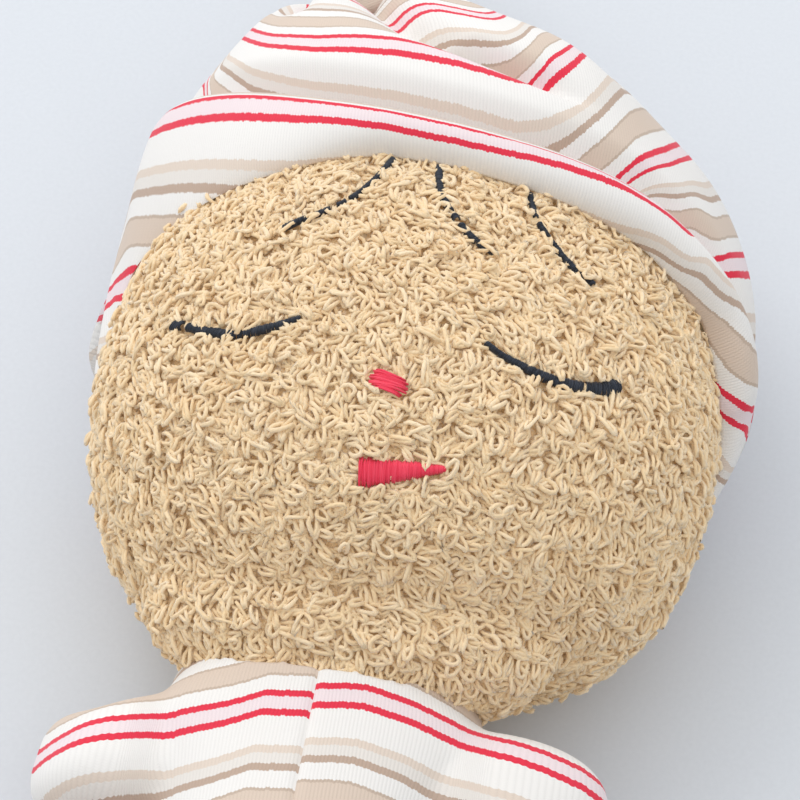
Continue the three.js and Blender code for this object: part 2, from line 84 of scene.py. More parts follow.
def read_normals(piece):
    flat = np.empty(len(piece.data.vertices) * 3)
    piece.data.vertex_normals.foreach_get("vector", flat)
    return flat.reshape(-1, 3)


def deselect_all():
    if bpy.context.object and bpy.context.object.mode != "OBJECT":
        bpy.ops.object.mode_set(mode="OBJECT")
    bpy.ops.object.select_all(action="DESELECT")


def make_active(piece):
    deselect_all()
    piece.select_set(True)
    bpy.context.view_layer.objects.active = piece


def apply_modifiers(piece):
    make_active(piece)
    for modifier in list(piece.modifiers):
        bpy.ops.object.modifier_apply(modifier=modifier.name)


def smooth_shading(piece):
    make_active(piece)
    bpy.ops.object.shade_smooth()


def start_editing(piece):
    make_active(piece)
    bpy.ops.object.mode_set(mode="EDIT")
    bpy.ops.mesh.select_all(action="SELECT")


def stop_editing():
    bpy.ops.object.mode_set(mode="OBJECT")


def swell(t, fullness=2.0):
    """Rises from 0 to 1 like a quarter of an ellipse."""
    t = np.clip(t, 0, 1)
    return (1 - (1 - t) ** fullness) ** (1 / fullness)


def ease(t):
    """Rises from 0 to 1, slowly at both ends."""
    t = np.clip(t, 0, 1)
    return t * t * (3 - 2 * t)


def mix(a, b, t):
    return a + (b - a) * t


def smoothed(padded, size):
    """A running mean over the size, weighted to its middle. It uses up the padding."""
    kernel = np.hanning(size)
    return np.convolve(padded, kernel / kernel.sum(), "valid")


def unit(vectors):
    return vectors / (np.linalg.norm(vectors, axis=-1, keepdims=True) + 1e-12)


# %% [markdown]
# ## The camera, the floor and the light
# The camera stands 52 cm away on the side of the feet, 56 degrees up, with a long lens. It was found by
# laying the CAD model over the photograph. The floor is plain and pale. The light is a bright room, brightest
# overhead and a little to the upper left, with a big soft window there and a weaker one opposite.

# %% Camera
AZIMUTH, ELEVATION = math.radians(8.8), math.radians(56)
AIM, DISTANCE, FOCAL_LENGTH = np.array([6.0, 53.4, 52.0]), 0.52, 117
level = math.cos(ELEVATION)
look = Vector((-math.sin(AZIMUTH) * level, math.cos(AZIMUTH) * level, -math.sin(ELEVATION)))
deselect_all()
bpy.ops.object.camera_add(location=Vector(metres(AIM)) - look * DISTANCE)
camera = bpy.context.object
camera.name = "camera"
camera.rotation_euler = look.to_track_quat("-Z", "Y").to_euler()
camera.data.lens = FOCAL_LENGTH
camera.data.sensor_width = 36
camera.data.clip_start = 0.02
bpy.context.scene.camera = camera
print("camera at", [round(v, 3) for v in camera.location])

# %% Floor and light
deselect_all()
bpy.ops.mesh.primitive_plane_add(size=8, location=(0, 0, 0))
floor = bpy.context.object
floor.name = "floor"


def window_light(name, place, size, power, colour):
    """A square window that faces the doll."""
    deselect_all()
    bpy.ops.object.light_add(type="AREA", location=place)
    lamp = bpy.context.object
    lamp.name = name
    lamp.data.size = size
    lamp.data.energy = power
    lamp.data.color = colour
    lamp.rotation_euler = (Vector((0, 0.02, 0.03)) - Vector(place)).to_track_quat("-Z", "Y").to_euler()


window_light("window_left", (-0.85, 0.75, 1.15), 0.9, 5.0, (1.0, 0.985, 0.97))
window_light("window_right", (0.9, -0.6, 1.3), 1.2, 2.5, (0.96, 0.98, 1.0))

SKY_TOWARDS, SKY_SPREAD, SKY_BASE = Vector((-0.35, 0.6, 0.9)).normalized(), 0.8, 0.64
world = bpy.data.worlds.new("room")
bpy.context.scene.world = world
world.use_nodes = True
room = world.node_tree
sky = room.nodes["Background"]
sky.inputs["Color"].default_value = (0.965, 0.98, 1.0, 1)
way = room.nodes.new("ShaderNodeTexCoord")
towards = room.nodes.new("ShaderNodeVectorMath")
towards.operation = "DOT_PRODUCT"
towards.inputs[1].default_value = SKY_TOWARDS
scaled = room.nodes.new("ShaderNodeMath")
scaled.operation = "MULTIPLY_ADD"
scaled.inputs[1].default_value, scaled.inputs[2].default_value = SKY_SPREAD, SKY_BASE
room.links.new(way.outputs["Generated"], towards.inputs[0])
room.links.new(towards.outputs["Value"], scaled.inputs[0])
room.links.new(scaled.outputs[0], sky.inputs["Strength"])
bpy.context.scene.view_settings.view_transform = "Standard"


# %% [markdown]
# ## Finishes
# Paints are written as the eye reads them, from 0 to 255, and turned into the linear values that a shader
# wants. A few helpers place and wire nodes, so that each finish reads as a short recipe.

# %% Helpers for finishes
def paint(*levels):
    return tuple(((v / 255 + 0.055) / 1.055) ** 2.4 if v > 10 else v / 255 / 12.92 for v in levels) + (1.0,)


def new_finish(name, roughness, sheen=0.0):
    finish = bpy.data.materials.new(name)
    finish.use_nodes = True
    shader = finish.node_tree.nodes["Principled BSDF"]
    shader.inputs["Roughness"].default_value = roughness
    shader.inputs["Specular IOR Level"].default_value = 0.25
    shader.inputs["Sheen Weight"].default_value = sheen
    shader.inputs["Sheen Roughness"].default_value = 0.5
    return finish, finish.node_tree, shader


def put(tree, kind, **settings):
    """Adds a node, sets its properties, and its inputs where a key starts with in_."""
    node = tree.nodes.new(kind)
    for key, value in settings.items():
        if key.startswith("in_"):
            node.inputs[int(key[3:])].default_value = value
        else:
            setattr(node, key, value)
    return node


def maths(tree, operation, a, b=None, c=None):
    """A sum of nodes or numbers, as the output of a new node."""
    node = put(tree, "ShaderNodeMath", operation=operation)
    for socket, value in zip(node.inputs, (a, b, c)):
        if value is None:
            continue
        if isinstance(value, (int, float)):
            socket.default_value = value
        else:
            tree.links.new(value, socket)
    return node.outputs[0]


def ramp(tree, value, stops, stepped=False):
    """Colours by value, blended between the stops or in steps."""
    node = put(tree, "ShaderNodeValToRGB")
    node.color_ramp.interpolation = "CONSTANT" if stepped else "LINEAR"
    elements = node.color_ramp.elements
    elements.remove(elements[1])
    elements[0].position, elements[0].color = stops[0]
    for place, colour in stops[1:]:
        elements.new(place).color = colour
    tree.links.new(value, node.inputs[0])
    return node.outputs[0]


def off_middle(tree, value):
    """How far a repeating value is from the middle of its repeat."""
    return maths(tree, "ABSOLUTE", maths(tree, "SUBTRACT", maths(tree, "FRACT", value), 0.5))


def knit_place(tree):
    """The two numbers of the piece's own UV map."""
    split = put(tree, "ShaderNodeSeparateXYZ")
    tree.links.new(put(tree, "ShaderNodeUVMap", uv_map="knit").outputs[0], split.inputs[0])
    return split.outputs[0], split.outputs[1]


def grained(tree, scale, detail):
    """Fine noise that stays with the piece."""
    noise = put(tree, "ShaderNodeTexNoise", in_2=scale, in_3=detail)
    tree.links.new(put(tree, "ShaderNodeTexCoord").outputs["Object"], noise.inputs["Vector"])
    return noise.outputs[0]


def bumped(tree, shader, height, distance, strength=1.0):
    bump = put(tree, "ShaderNodeBump")
    bump.inputs["Strength"].default_value = strength
    bump.inputs["Distance"].default_value = distance
    tree.links.new(height, bump.inputs["Height"])
    tree.links.new(bump.outputs["Normal"], shader.inputs["Normal"])


# %% [markdown]
# The floor is matte paper with a very faint grain. Terry yarn is cotton of two plies: painted shade makes a thin
# darker line in the groove that winds round each loop, every loop has its own tone, and painted shade makes each loop
# darker towards its feet and lighter at its top. A little light passes from loop to loop through the yarn, which a
# weak glow stands for. The cloth that the loops stand on is mottled.

# %% Floor, terry yarn and terry ground
paper, tree, shader = new_finish("pale_paper", 0.9)
pale = ramp(tree, grained(tree, 900.0, 3.0), [(0.3, paint(208, 212, 217)), (0.7, paint(211, 215, 220))])
tree.links.new(pale, shader.inputs["Base Color"])
floor.data.materials.append(paper)

YARN_GLOW = 0.08
yarn, tree, shader = new_finish("terry_yarn", 0.85, sheen=0.5)
shade = put(tree, "ShaderNodeAttribute", attribute_name="shade").outputs["Fac"]
along_loop, round_loop = knit_place(tree)
turn = maths(tree, "ADD", maths(tree, "MULTIPLY", along_loop, 7.0), round_loop)
# Painted shade: a thin darker line in the groove between the two plies, where the bump is low
ply = off_middle(tree, maths(tree, "MULTIPLY", turn, 2.0))
# Painted shade: each loop is darker towards its feet and lighter at its top
painted_feet_shade = maths(tree, "ABSOLUTE", maths(tree, "SUBTRACT", along_loop, 0.5))
lightness = maths(tree, "SUBTRACT", maths(tree, "ADD", shade, maths(tree, "MULTIPLY", ply, 0.42)),
                  maths(tree, "MULTIPLY", painted_feet_shade, 0.55))
yarn_colour = ramp(tree, lightness, [(0.0, paint(224, 193, 149)), (0.3, paint(230, 203, 161)),
                                     (0.6, paint(235, 211, 174)), (1.0, paint(242, 225, 195))])
tree.links.new(yarn_colour, shader.inputs["Base Color"])
tree.links.new(yarn_colour, shader.inputs["Emission Color"])
shader.inputs["Emission Strength"].default_value = YARN_GLOW
bumped(tree, shader, ply, 0.00012, 0.4)

ground, tree, shader = new_finish("terry_ground", 0.95, sheen=0.1)
weave = grained(tree, 1300.0, 4.0)
mottle = ramp(tree, weave, [(0.3, paint(240, 208, 160)), (0.55, paint(248, 220, 176)), (0.75, paint(236, 220, 206))])
tree.links.new(mottle, shader.inputs["Base Color"])
bumped(tree, shader, weave, 0.0006)
print("finishes so far:", paper.name, yarn.name, ground.name)

# %% [markdown]
# The jersey is a fine knit with printed-in stripes: a pair of red lines, a wide white, three thin lines of
# beige and taupe, and one wide beige, over and over every 28.6 mm. The pattern follows the cloth, so it
# reads the piece's own UV map, where U runs across the wales and V along them, both in steps of 100 mm.
# Each column of stitches ends its stripe a little higher or lower, which gives the toothed edge of a knit.
# The pattern is one node group, used by every jersey piece, and it darkens the stripes a little with painted shade in
# the grooves of the knit.

# %% Striped knit
STRIPE_REPEAT, WALE, COURSE = 28.6, 0.7, 0.5
WHITE, RED, BLUSH = paint(234, 231, 227), paint(224, 52, 74), paint(233, 217, 219)
LIGHT_BEIGE, OFF_WHITE, TAUPE = paint(220, 205, 191), paint(225, 219, 212), paint(187, 164, 147)
BEIGE, HAIRLINE = paint(213, 195, 179), paint(193, 174, 157)
STRIPES = [(0.0, RED), (1.3, BLUSH), (4.0, RED), (5.4, WHITE), (11.6, LIGHT_BEIGE), (13.1, OFF_WHITE),
           (15.2, TAUPE), (16.7, WHITE), (20.1, HAIRLINE), (20.6, BEIGE), (24.9, HAIRLINE), (25.4, WHITE)]

knit = bpy.data.node_groups.new("striped_knit", "ShaderNodeTree")
for name, way_in_or_out, kind in (("Across", "INPUT", "Float"), ("Along", "INPUT", "Float"),
                                  ("Colour", "OUTPUT", "Color"), ("Height", "OUTPUT", "Float")):
    knit.interface.new_socket(name, in_out=way_in_or_out, socket_type="NodeSocket" + kind)
given = put(knit, "NodeGroupInput")
made = put(knit, "NodeGroupOutput")
column = maths(knit, "DIVIDE", given.outputs["Across"], WALE)
inside = off_middle(knit, column)
random = put(knit, "ShaderNodeTexWhiteNoise", noise_dimensions="1D")
knit.links.new(maths(knit, "FLOOR", column), random.inputs["W"])
jog = maths(knit, "ADD", maths(knit, "MULTIPLY", random.outputs["Value"], 0.22),
            maths(knit, "MULTIPLY", inside, 0.4))
share = maths(knit, "FRACT", maths(knit, "DIVIDE", maths(knit, "ADD", given.outputs["Along"], jog), STRIPE_REPEAT))
colour = ramp(knit, share, [(start / STRIPE_REPEAT, shade_of) for start, shade_of in STRIPES], stepped=True)
slanted = maths(knit, "ADD", given.outputs["Along"], maths(knit, "MULTIPLY", inside, 0.8))
stitch = maths(knit, "SINE", maths(knit, "MULTIPLY", maths(knit, "FRACT", maths(knit, "DIVIDE", slanted, COURSE)),
                                   math.pi))
rib = maths(knit, "SINE", maths(knit, "MULTIPLY", maths(knit, "SUBTRACT", 0.5, inside), math.pi))
height = maths(knit, "ADD", maths(knit, "MULTIPLY", rib, 0.75), maths(knit, "MULTIPLY", stitch, 0.35))
# Painted shade: the stripes' colour is darkened where the knit is low, in the grooves between the ribs and the
# stitches
groove_shaded = put(knit, "ShaderNodeMix", data_type="RGBA", blend_type="MULTIPLY")
groove_shaded.inputs[0].default_value = 1.0
groove_shade = put(knit, "ShaderNodeCombineColor")
for socket in groove_shade.inputs:
    knit.links.new(maths(knit, "MULTIPLY_ADD", height, 0.07, 0.92), socket)
knit.links.new(colour, groove_shaded.inputs[6])
knit.links.new(groove_shade.outputs[0], groove_shaded.inputs[7])
knit.links.new(groove_shaded.outputs[2], made.inputs["Colour"])
knit.links.new(height, made.inputs["Height"])


def jersey_finish(name):
    finish, tree, shader = new_finish(name, 0.85, sheen=0.15)
    group = put(tree, "ShaderNodeGroup", node_tree=knit)
    for value, socket in zip(knit_place(tree), ("Across", "Along")):
        tree.links.new(maths(tree, "MULTIPLY", value, 100.0), group.inputs[socket])
    tree.links.new(group.outputs["Colour"], shader.inputs["Base Color"])
    bumped(tree, shader, group.outputs["Height"], 0.00009, 0.7)
    return finish


cap_jersey = jersey_finish("cap_jersey")
suit_jersey = jersey_finish("suit_jersey")
print("stripes in a repeat:", len(STRIPES))

# %% [markdown]
# Embroidery thread is smooth and lustrous. Each stitch is a bundle of fine fibres, so its finish has thin lines along
# it, darker in the grooves between the fibres as painted shade, and a lower roughness than cotton.

# %% Threads
def thread_finish(name, deep, bright, roughness):
    finish, tree, shader = new_finish(name, roughness, sheen=0.1)
    shade = put(tree, "ShaderNodeAttribute", attribute_name="shade").outputs["Fac"]
    fibre = off_middle(tree, maths(tree, "MULTIPLY", knit_place(tree)[1], 5.0))
    # Painted shade: each stitch has its own tone, darker in the grooves between its fibres where the bump is low
    tone = maths(tree, "ADD", maths(tree, "MULTIPLY", shade, 0.7), maths(tree, "MULTIPLY", fibre, 0.6))
    tree.links.new(ramp(tree, tone, [(0.0, deep), (1.0, bright)]), shader.inputs["Base Color"])
    bumped(tree, shader, fibre, 0.00006, 0.6)
    return finish


dark_thread = thread_finish("dark_thread", paint(22, 26, 34), paint(62, 68, 80), 0.5)
red_thread = thread_finish("red_thread", paint(222, 34, 66), paint(250, 84, 108), 0.45)


# %% [markdown]
# ## Stuffed forms
# A stuffed form is a ball of cloth that the filling pushes out. On the bench it is a UV sphere, pulled ring
# by ring to the widths that the pattern gives. The sections of the head and the cap are those of the CAD
# model, and the others are close to it. A point of a section runs round from the doll's left over the top.
# The sphere lists its faces in another order on every run, so they are sorted before anything builds on them.

# %% Shaping a sphere by sections
ROUNDNESS = 2.15


def section_points(section, angle, y):
    """Places on a section, which has a middle, half a width, and its reach up and down."""
    bulge = lambda v: np.sign(v) * np.abs(v) ** (2 / ROUNDNESS)
    rise = np.where(np.sin(angle) >= 0, section["up"], section["down"])
    return np.stack([section["x"] + bulge(np.cos(angle)) * section["half"], y + 0 * angle,
                     section["z"] + bulge(np.sin(angle)) * rise], -1)


def sort_faces(mesh):
    """Puts the faces in one order, by the numbers of their corners, and keeps their UV map."""
    uvs = np.empty(len(mesh.loops) * 2)
    mesh.uv_layers[0].data.foreach_get("uv", uvs)
    places = [tuple(vertex.co) for vertex in mesh.vertices]
    faces = sorted([(mesh.loops[i].vertex_index, uvs[2 * i], uvs[2 * i + 1]) for i in polygon.loop_indices]
                   for polygon in mesh.polygons)
    mesh.clear_geometry()
    mesh.from_pydata(places, [], [[corner[0] for corner in face] for face in faces])
    flat = [value for face in faces for corner in face for value in corner[1:]]
    mesh.uv_layers.new(name="UVMap").data.foreach_set("uv", flat)


def stuffed_form(name, section_at, start, end, segments, rings):
    """A sphere with its poles on Y, pulled to the sections between two places on Y."""
    deselect_all()
    bpy.ops.mesh.primitive_uv_sphere_add(segments=segments, ring_count=rings, radius=1, location=(0, 0, 0))
    piece = bpy.context.object
    piece.name = name
    sort_faces(piece.data)
    start_editing(piece)
    bpy.ops.transform.rotate(value=math.pi / 2, orient_axis="X", center_override=(0, 0, 0))
    stop_editing()
    flat = np.empty(len(piece.data.vertices) * 3)
    piece.data.vertices.foreach_get("co", flat)
    ball = flat.reshape(-1, 3)
    along = ball[:, 1] * (1 if end > start else -1)
    y = mix(start, end, (1 + along) / 2)
    angle = np.arctan2(ball[:, 2], ball[:, 0])
    section = section_at(y)
    points = section_points(section, angle, y)
    pole = np.hypot(ball[:, 0], ball[:, 2]) < 1e-4
    points[pole, 0] = (section["x"] + 0 * y)[pole]
    points[pole, 2] = (section["z"] + 0 * y)[pole]
    write_points(piece, points)
    face_outward(piece)
    return piece


def face_outward(piece):
    start_editing(piece)
    bpy.ops.mesh.remove_doubles(threshold=1e-6)
    bpy.ops.mesh.normals_make_consistent(inside=False)
    stop_editing()


def relaxed(piece, turns):
    """Lets the cloth settle: each point moves half way towards the middle of its neighbours, turn by turn."""
    smoother = piece.modifiers.new("settle", "SMOOTH")
    smoother.factor = 0.5
    smoother.iterations = turns
    apply_modifiers(piece)


def made_one(parts, voxel, turns):
    """Joins the parts into the first, as one cloth that is meshed anew and then relaxed."""
    make_active(parts[0])
    for part in parts[1:]:
        part.select_set(True)
    bpy.ops.object.join()
    remesh = parts[0].modifiers.new("one_cloth", "REMESH")
    remesh.mode = "VOXEL"
    remesh.voxel_size = voxel
    apply_modifiers(parts[0])
    relaxed(parts[0], turns)


def subdivided(piece):
    finer = piece.modifiers.new("finer", "SUBSURF")
    finer.levels = finer.render_levels = 1
    apply_modifiers(piece)


# %% [markdown]
# ## The head
# The head swells out of the throat, is widest at the cheeks and closes under the cap. The terry's ground
# cloth lies 1.8 mm under the CAD surface, because the loops fill the rest. It runs down into the collar as
# the neck, all in one cloth.

# %% Head form
CHIN, WIDEST, HEAD_END = 6.0, 58.0, 136.0
HEAD_WIDTH, HEAD_TOP, CAP_LAYER = 128.0, 81.0, 2.0


def head_section(y):
    y = np.asarray(y, float)
    below = y < WIDEST
    share = np.where(below, swell((y - CHIN) / (WIDEST - CHIN), 2.2),
                     swell((HEAD_END - y) / (HEAD_END - WIDEST)))
    z = mix(27.0, 37.0, ease(y / WIDEST))
    top = mix(np.where(below, 48.0, 37.0), HEAD_TOP, share)
    under = mix(np.where(below, 6.0, 37.0), CAP_LAYER, share)
    half = mix(np.where(below, 27.5, 0.0), HEAD_WIDTH / 2, share)
    return dict(x=6.5 * ease(y / 15), z=z, half=half, up=top - z, down=z - under)


def surface_height(x, y):
    """How high the terry's surface is over the floor at a place on the face."""
    section = head_section(y)
    across = np.clip(np.abs(x - section["x"]) / section["half"], 0, 1)
    return section["z"] + section["up"] * (1 - across ** ROUNDNESS) ** (1 / ROUNDNESS)


def face_frame(x, y):
    """A point of the face and the way out of it."""
    step = 0.5
    slope_x = (surface_height(x + step, y) - surface_height(x - step, y)) / (2 * step)
    slope_y = (surface_height(x, y + step) - surface_height(x, y - step)) / (2 * step)
    out = unit(np.stack([-slope_x, -slope_y, 1 + 0 * slope_x], -1))
    return np.stack([x, y, surface_height(x, y)], -1), out


PILE = 1.8
head_cloth = stuffed_form("head_cloth", head_section, CHIN, HEAD_END, 96, 64)
relaxed(head_cloth, 3)
write_points(head_cloth, read_points(head_cloth) - read_normals(head_cloth) * PILE)
smooth_shading(head_cloth)
head_cloth.data.materials.append(ground)


def neck_section(y):
    round_end = swell((y + 22) / 11.3)
    return dict(x=3.0 * ease((y + 6) / 18), z=27.0, half=27.0 * round_end, up=19.0 * round_end, down=19.5 * round_end)


def throat_section(y):
    s = np.sqrt(np.clip(1 - ((y - 7) / 14.0) ** 2, 0, 1))
    return dict(x=3.0, z=38.0, half=39.0 * s, up=16.0 * s, down=20.0 * s)


neck = stuffed_form("neck", neck_section, -22.0, 14.0, 64, 24)
throat = stuffed_form("throat", throat_section, -7.0, 21.0, 64, 24)
made_one([head_cloth, neck, throat], voxel=0.0021, turns=8)
smooth_shading(head_cloth)
print("head:", len(head_cloth.data.polygons), "faces")


# %% [markdown]
# ## The features
# The eyes, the hair, the nose and the mouth are satin stitch: short threads laid side by side across a line.
# Each line is kept as places on the face, in the order the needle followed. One stitch is a thin arched
# tube, and the same tube is laid across the line again and again, with the small unevenness of real work.

# %% Meshes, tubes and grids
SIDES = 4


def filled_mesh(name, points, quads, uvs, shades=None):
    """A piece from arrays of places and four-cornered faces."""
    mesh = bpy.data.meshes.new(name)
    mesh.vertices.add(len(points))
    mesh.loops.add(quads.size)
    mesh.polygons.add(len(quads))
    mesh.vertices.foreach_set("co", metres(points).ravel())
    mesh.loops.foreach_set("vertex_index", quads.ravel().astype(np.int32))
    mesh.polygons.foreach_set("loop_start", np.arange(0, quads.size, 4, dtype=np.int32))
    mesh.update(calc_edges=True)
    mesh.uv_layers.new(name="knit").data.foreach_set("uv", uvs.ravel())
    if shades is not None:
        mesh.attributes.new("shade", "FLOAT", "POINT").data.foreach_set("value", shades.astype(np.float32))
    piece = bpy.data.objects.new(name, mesh)
    bpy.context.scene.collection.objects.link(piece)
    smooth_shading(piece)
    return piece


def every_pair(rows, columns):
    return (numbers.ravel() for numbers in np.meshgrid(np.arange(rows), np.arange(columns), indexing="ij"))


def tubes(name, lines, sides_by, radius, shades):
    """Many tubes at once: lines is tubes x stations x 3, sides_by the same for the way to one side."""
    count, stations = lines.shape[:2]
    tangent = unit(np.gradient(lines, axis=1))
    out = unit(np.cross(tangent, sides_by))
    side = np.cross(out, tangent)
    ring = 2 * math.pi * np.arange(SIDES)[:, None] / SIDES
    radius = np.broadcast_to(radius, (count, stations))[:, :, None, None]
    points = lines[:, :, None] + radius * (np.cos(ring) * side[:, :, None] + np.sin(ring) * out[:, :, None])
    k, s = every_pair(stations - 1, SIDES)
    here, beside, last = k * SIDES + s, k * SIDES + (s + 1) % SIDES, (stations - 1) * SIDES
    quad = np.stack([here, beside, beside + SIDES, here + SIDES], -1)
    quad = np.vstack([quad, [[3, 2, 1, 0], [last, last + 1, last + 2, last + 3]]])
    u0, u1, v0, v1 = k / (stations - 1), (k + 1) / (stations - 1), s / SIDES, (s + 1) / SIDES
    uv = np.stack([np.stack(corner, -1) for corner in ((u0, v0), (u0, v1), (u1, v1), (u1, v0))], 1)
    uv = np.concatenate([uv, np.zeros((1, 4, 2)), np.ones((1, 4, 2))])
    quads = (quad + (np.arange(count) * stations * SIDES)[:, None, None]).reshape(-1, 4)
    uvs = np.broadcast_to(uv, (count,) + uv.shape)
    return filled_mesh(name, points.reshape(-1, 3), quads, uvs, np.repeat(shades, stations * SIDES))


def jersey_grid(name, grid, wale_step, along, closed=False):
    """Cap jersey on a grid that closes round its columns, and also from its last row to its first if closed."""
    rows, columns = grid.shape[:2]
    r, c = every_pair(rows if closed else rows - 1, columns)
    below, beside = (r + 1) % rows, (c + 1) % columns
    quads = np.stack([r * columns + c, below * columns + c, below * columns + beside, r * columns + beside], -1)
    corner = lambda row, column, place: np.stack([place * wale_step, along[row, column]], -1) / 100
    uvs = np.stack([corner(r, c, c), corner(r + 1, c, c), corner(r + 1, beside, c + 1), corner(r, beside, c + 1)], 1)
    piece = filled_mesh(name, grid.reshape(-1, 3), quads, uvs)
    piece.data.materials.append(cap_jersey)
    return piece


# %% Stitches
RIGHT_EYE = [(-39.1, 52.7), (-36.2, 51.8), (-32.0, 49.7), (-27.0, 48.2), (-22.5, 48.3), (-17.8, 49.4), (-13.0, 51.3)]
LEFT_EYE = [(23.2, 50.6), (26.3, 48.8), (29.9, 47.7), (34.1, 46.8), (38.2, 46.5), (42.2, 47.2), (46.2, 48.4),
            (49.4, 51.0)]
RIGHT_HAIR = [(-2.0, 96.0), (-4.4, 89.3), (-6.7, 85.0), (-8.9, 82.2), (-11.5, 80.0), (-14.8, 77.7), (-18.1, 76.0),
              (-20.8, 74.2)]
MIDDLE_HAIR = [(7.4, 95.0), (9.0, 86.8), (11.1, 82.9), (13.3, 79.8), (16.1, 76.2), (18.9, 73.8), (21.9, 72.5)]
LEFT_HAIR = [(26.4, 91.5), (28.4, 84.9), (31.6, 80.1), (34.8, 76.4), (38.0, 73.6), (41.7, 71.6)]
NOSE, MOUTH = [(6.0, 37.0), (6.2, 40.4)], [(3.2, 22.0), (10.0, 23.0), (19.2, 24.8)]

# A name, its line, its width along the line, and the middle and size of each gap
DARK_LINES = [
    ("right_eye", RIGHT_EYE, lambda t: 1.3 + 0.9 * np.sin(np.pi * t) ** 0.7 - 0.3 * t + 0.9 * (t < 0.06),
     [(0.105, 0.05)]),
    ("left_eye", LEFT_EYE, lambda t: 1.0 + 1.4 * ease(t * 1.6) + 0.4 * (t > 0.8), [(0.72, 0.03)]),
    ("right_hair", RIGHT_HAIR, lambda t: 1.5 - 0.5 * np.sin(np.pi * t), [(0.52, 0.035), (0.63, 0.05)]),
    ("middle_hair", MIDDLE_HAIR, lambda t: 1.5 - 0.3 * t, [(0.52, 0.04), (0.62, 0.05)]),
    ("left_hair", LEFT_HAIR, lambda t: 1.5 - 0.5 * np.sin(np.pi * t), [(0.3, 0.05), (0.5, 0.03)]),
]


def along_line(places, spacing):
    """Places at an even spacing along a smooth line, and the way along it at each."""
    places = np.array(places, float)
    lengths = np.concatenate([[0], np.cumsum(np.linalg.norm(np.diff(places, axis=0), axis=1))])
    wanted = np.arange(0, lengths[-1], spacing)
    dense = np.linspace(0, lengths[-1], 200)
    fine = np.stack([np.interp(dense, lengths, places[:, i]) for i in (0, 1)], -1)
    padded = np.concatenate([2 * fine[:1] - fine[1:16][::-1], fine, 2 * fine[-1:] - fine[-16:-1][::-1]])
    at = np.stack([np.interp(wanted, dense, smoothed(padded[:, i], 31)) for i in (0, 1)], -1)
    return at, unit(np.gradient(at, axis=0)), wanted / lengths[-1]


def satin_line(name, places, width_at, gaps, finish, seed, spacing=0.3, slant=0.25, lift=1.5, thread=0.2):
    """Stitches across a line on the face, each a low arch. At a gap the pile covers the thread."""
    rng = np.random.default_rng(seed)
    at, way, share = along_line(places, spacing)
    width = width_at(share)
    for middle, size in gaps:
        width = np.where(np.abs(share - middle) < size / 2, 0.0, width)
    half = width / 2 * rng.uniform(0.9, 1.1, len(at))
    kept = half > 0.15
    at, way, half = at[kept], way[kept], half[kept]
    across = np.stack([-way[:, 1], way[:, 0]], -1)
    across = unit(across + slant * way + rng.normal(0, 0.07, at.shape))
    span = np.linspace(-1, 1, 7)
    flat = at[:, None, :] + across[:, None, :] * (half[:, None] * span)[:, :, None]
    points, out = face_frame(flat[..., 0], flat[..., 1])
    arch = lift - 0.25 - 0.9 * np.abs(span) ** 4 + rng.uniform(-0.07, 0.07, (len(at), 1))
    points = points - PILE * out * 0.62 + out * arch[..., None]
    side = np.cross(out, unit(np.gradient(points, axis=1)))
    piece = tubes(name + "_stitches", points, side, thread, rng.uniform(0.1, 0.9, len(at)))
    piece.data.materials.append(finish)
    return piece


embroidery = [satin_line(*line, dark_thread, seed) for seed, line in enumerate(DARK_LINES, 1)]
embroidery.append(satin_line("nose", NOSE, lambda t: 4.6 + 2.8 * np.sin(np.pi * np.clip(t * 0.86 + 0.07, 0, 1)), [],
                             red_thread, 6, slant=0.12, spacing=0.22, lift=2.2, thread=0.24))
embroidery.append(satin_line("mouth", MOUTH, lambda t: 4.3 * (1 - t) ** 0.75 + 0.7, [],
                             red_thread, 7, slant=0.06, spacing=0.25, lift=1.6, thread=0.22))
print("stitches:", sum(len(piece.data.vertices) // (7 * SIDES) for piece in embroidery))


# %% [markdown]
# ## The cap's form
# The cap is a tube of jersey that is drawn over the head and tied at its end. Over the forehead its cloth
# is pushed back into a thick fold that lies on the brow. Behind the fold is a valley, then a puffed front
# panel, and a deep crease runs from the valley's right end up to the knot. The cap is a grid: one column
# for each angle round the head and one row for each step from the hem to the knot.

# %% Cap sections, the same as in the CAD model
CAP_END, CAP_BACK = 165.0, 30.0


def cap_section(y):
    head = head_section(np.minimum(y, WIDEST))
    drawn = (y - WIDEST) / (CAP_END - WIDEST)
    share = np.where(y < WIDEST, 1, swell(1 - drawn, 2.1))
    z = mix(head["z"], 36.0, ease(drawn))
    along = np.clip((y - CAP_BACK) / (CAP_END - CAP_BACK), 0, 1)
    puff, lean = np.sin(np.pi * along), np.sin(np.pi * along ** 2.2)
    top = mix(45.5, head["z"] + head["up"] + CAP_LAYER, share)
    under = mix(26.5, head["z"] - head["down"] - CAP_LAYER, share)
    return dict(x=mix(head["x"], -14.0, ease(drawn)) + 12.5 * lean, z=z,
                half=mix(9.5, head["half"] + CAP_LAYER, share) + 4 * puff, up=top - z, down=z - under)


def cap_surface(angle, y):
    return section_points(cap_section(y), angle, y)


def cap_out(angle, y):
    """The way out of the cap."""
    step = 0.4
    round_way = cap_surface(angle + 0.01, y) - cap_surface(angle - 0.01, y)
    up_way = cap_surface(angle, y + step) - cap_surface(angle, y - step)
    return unit(np.cross(up_way, round_way))


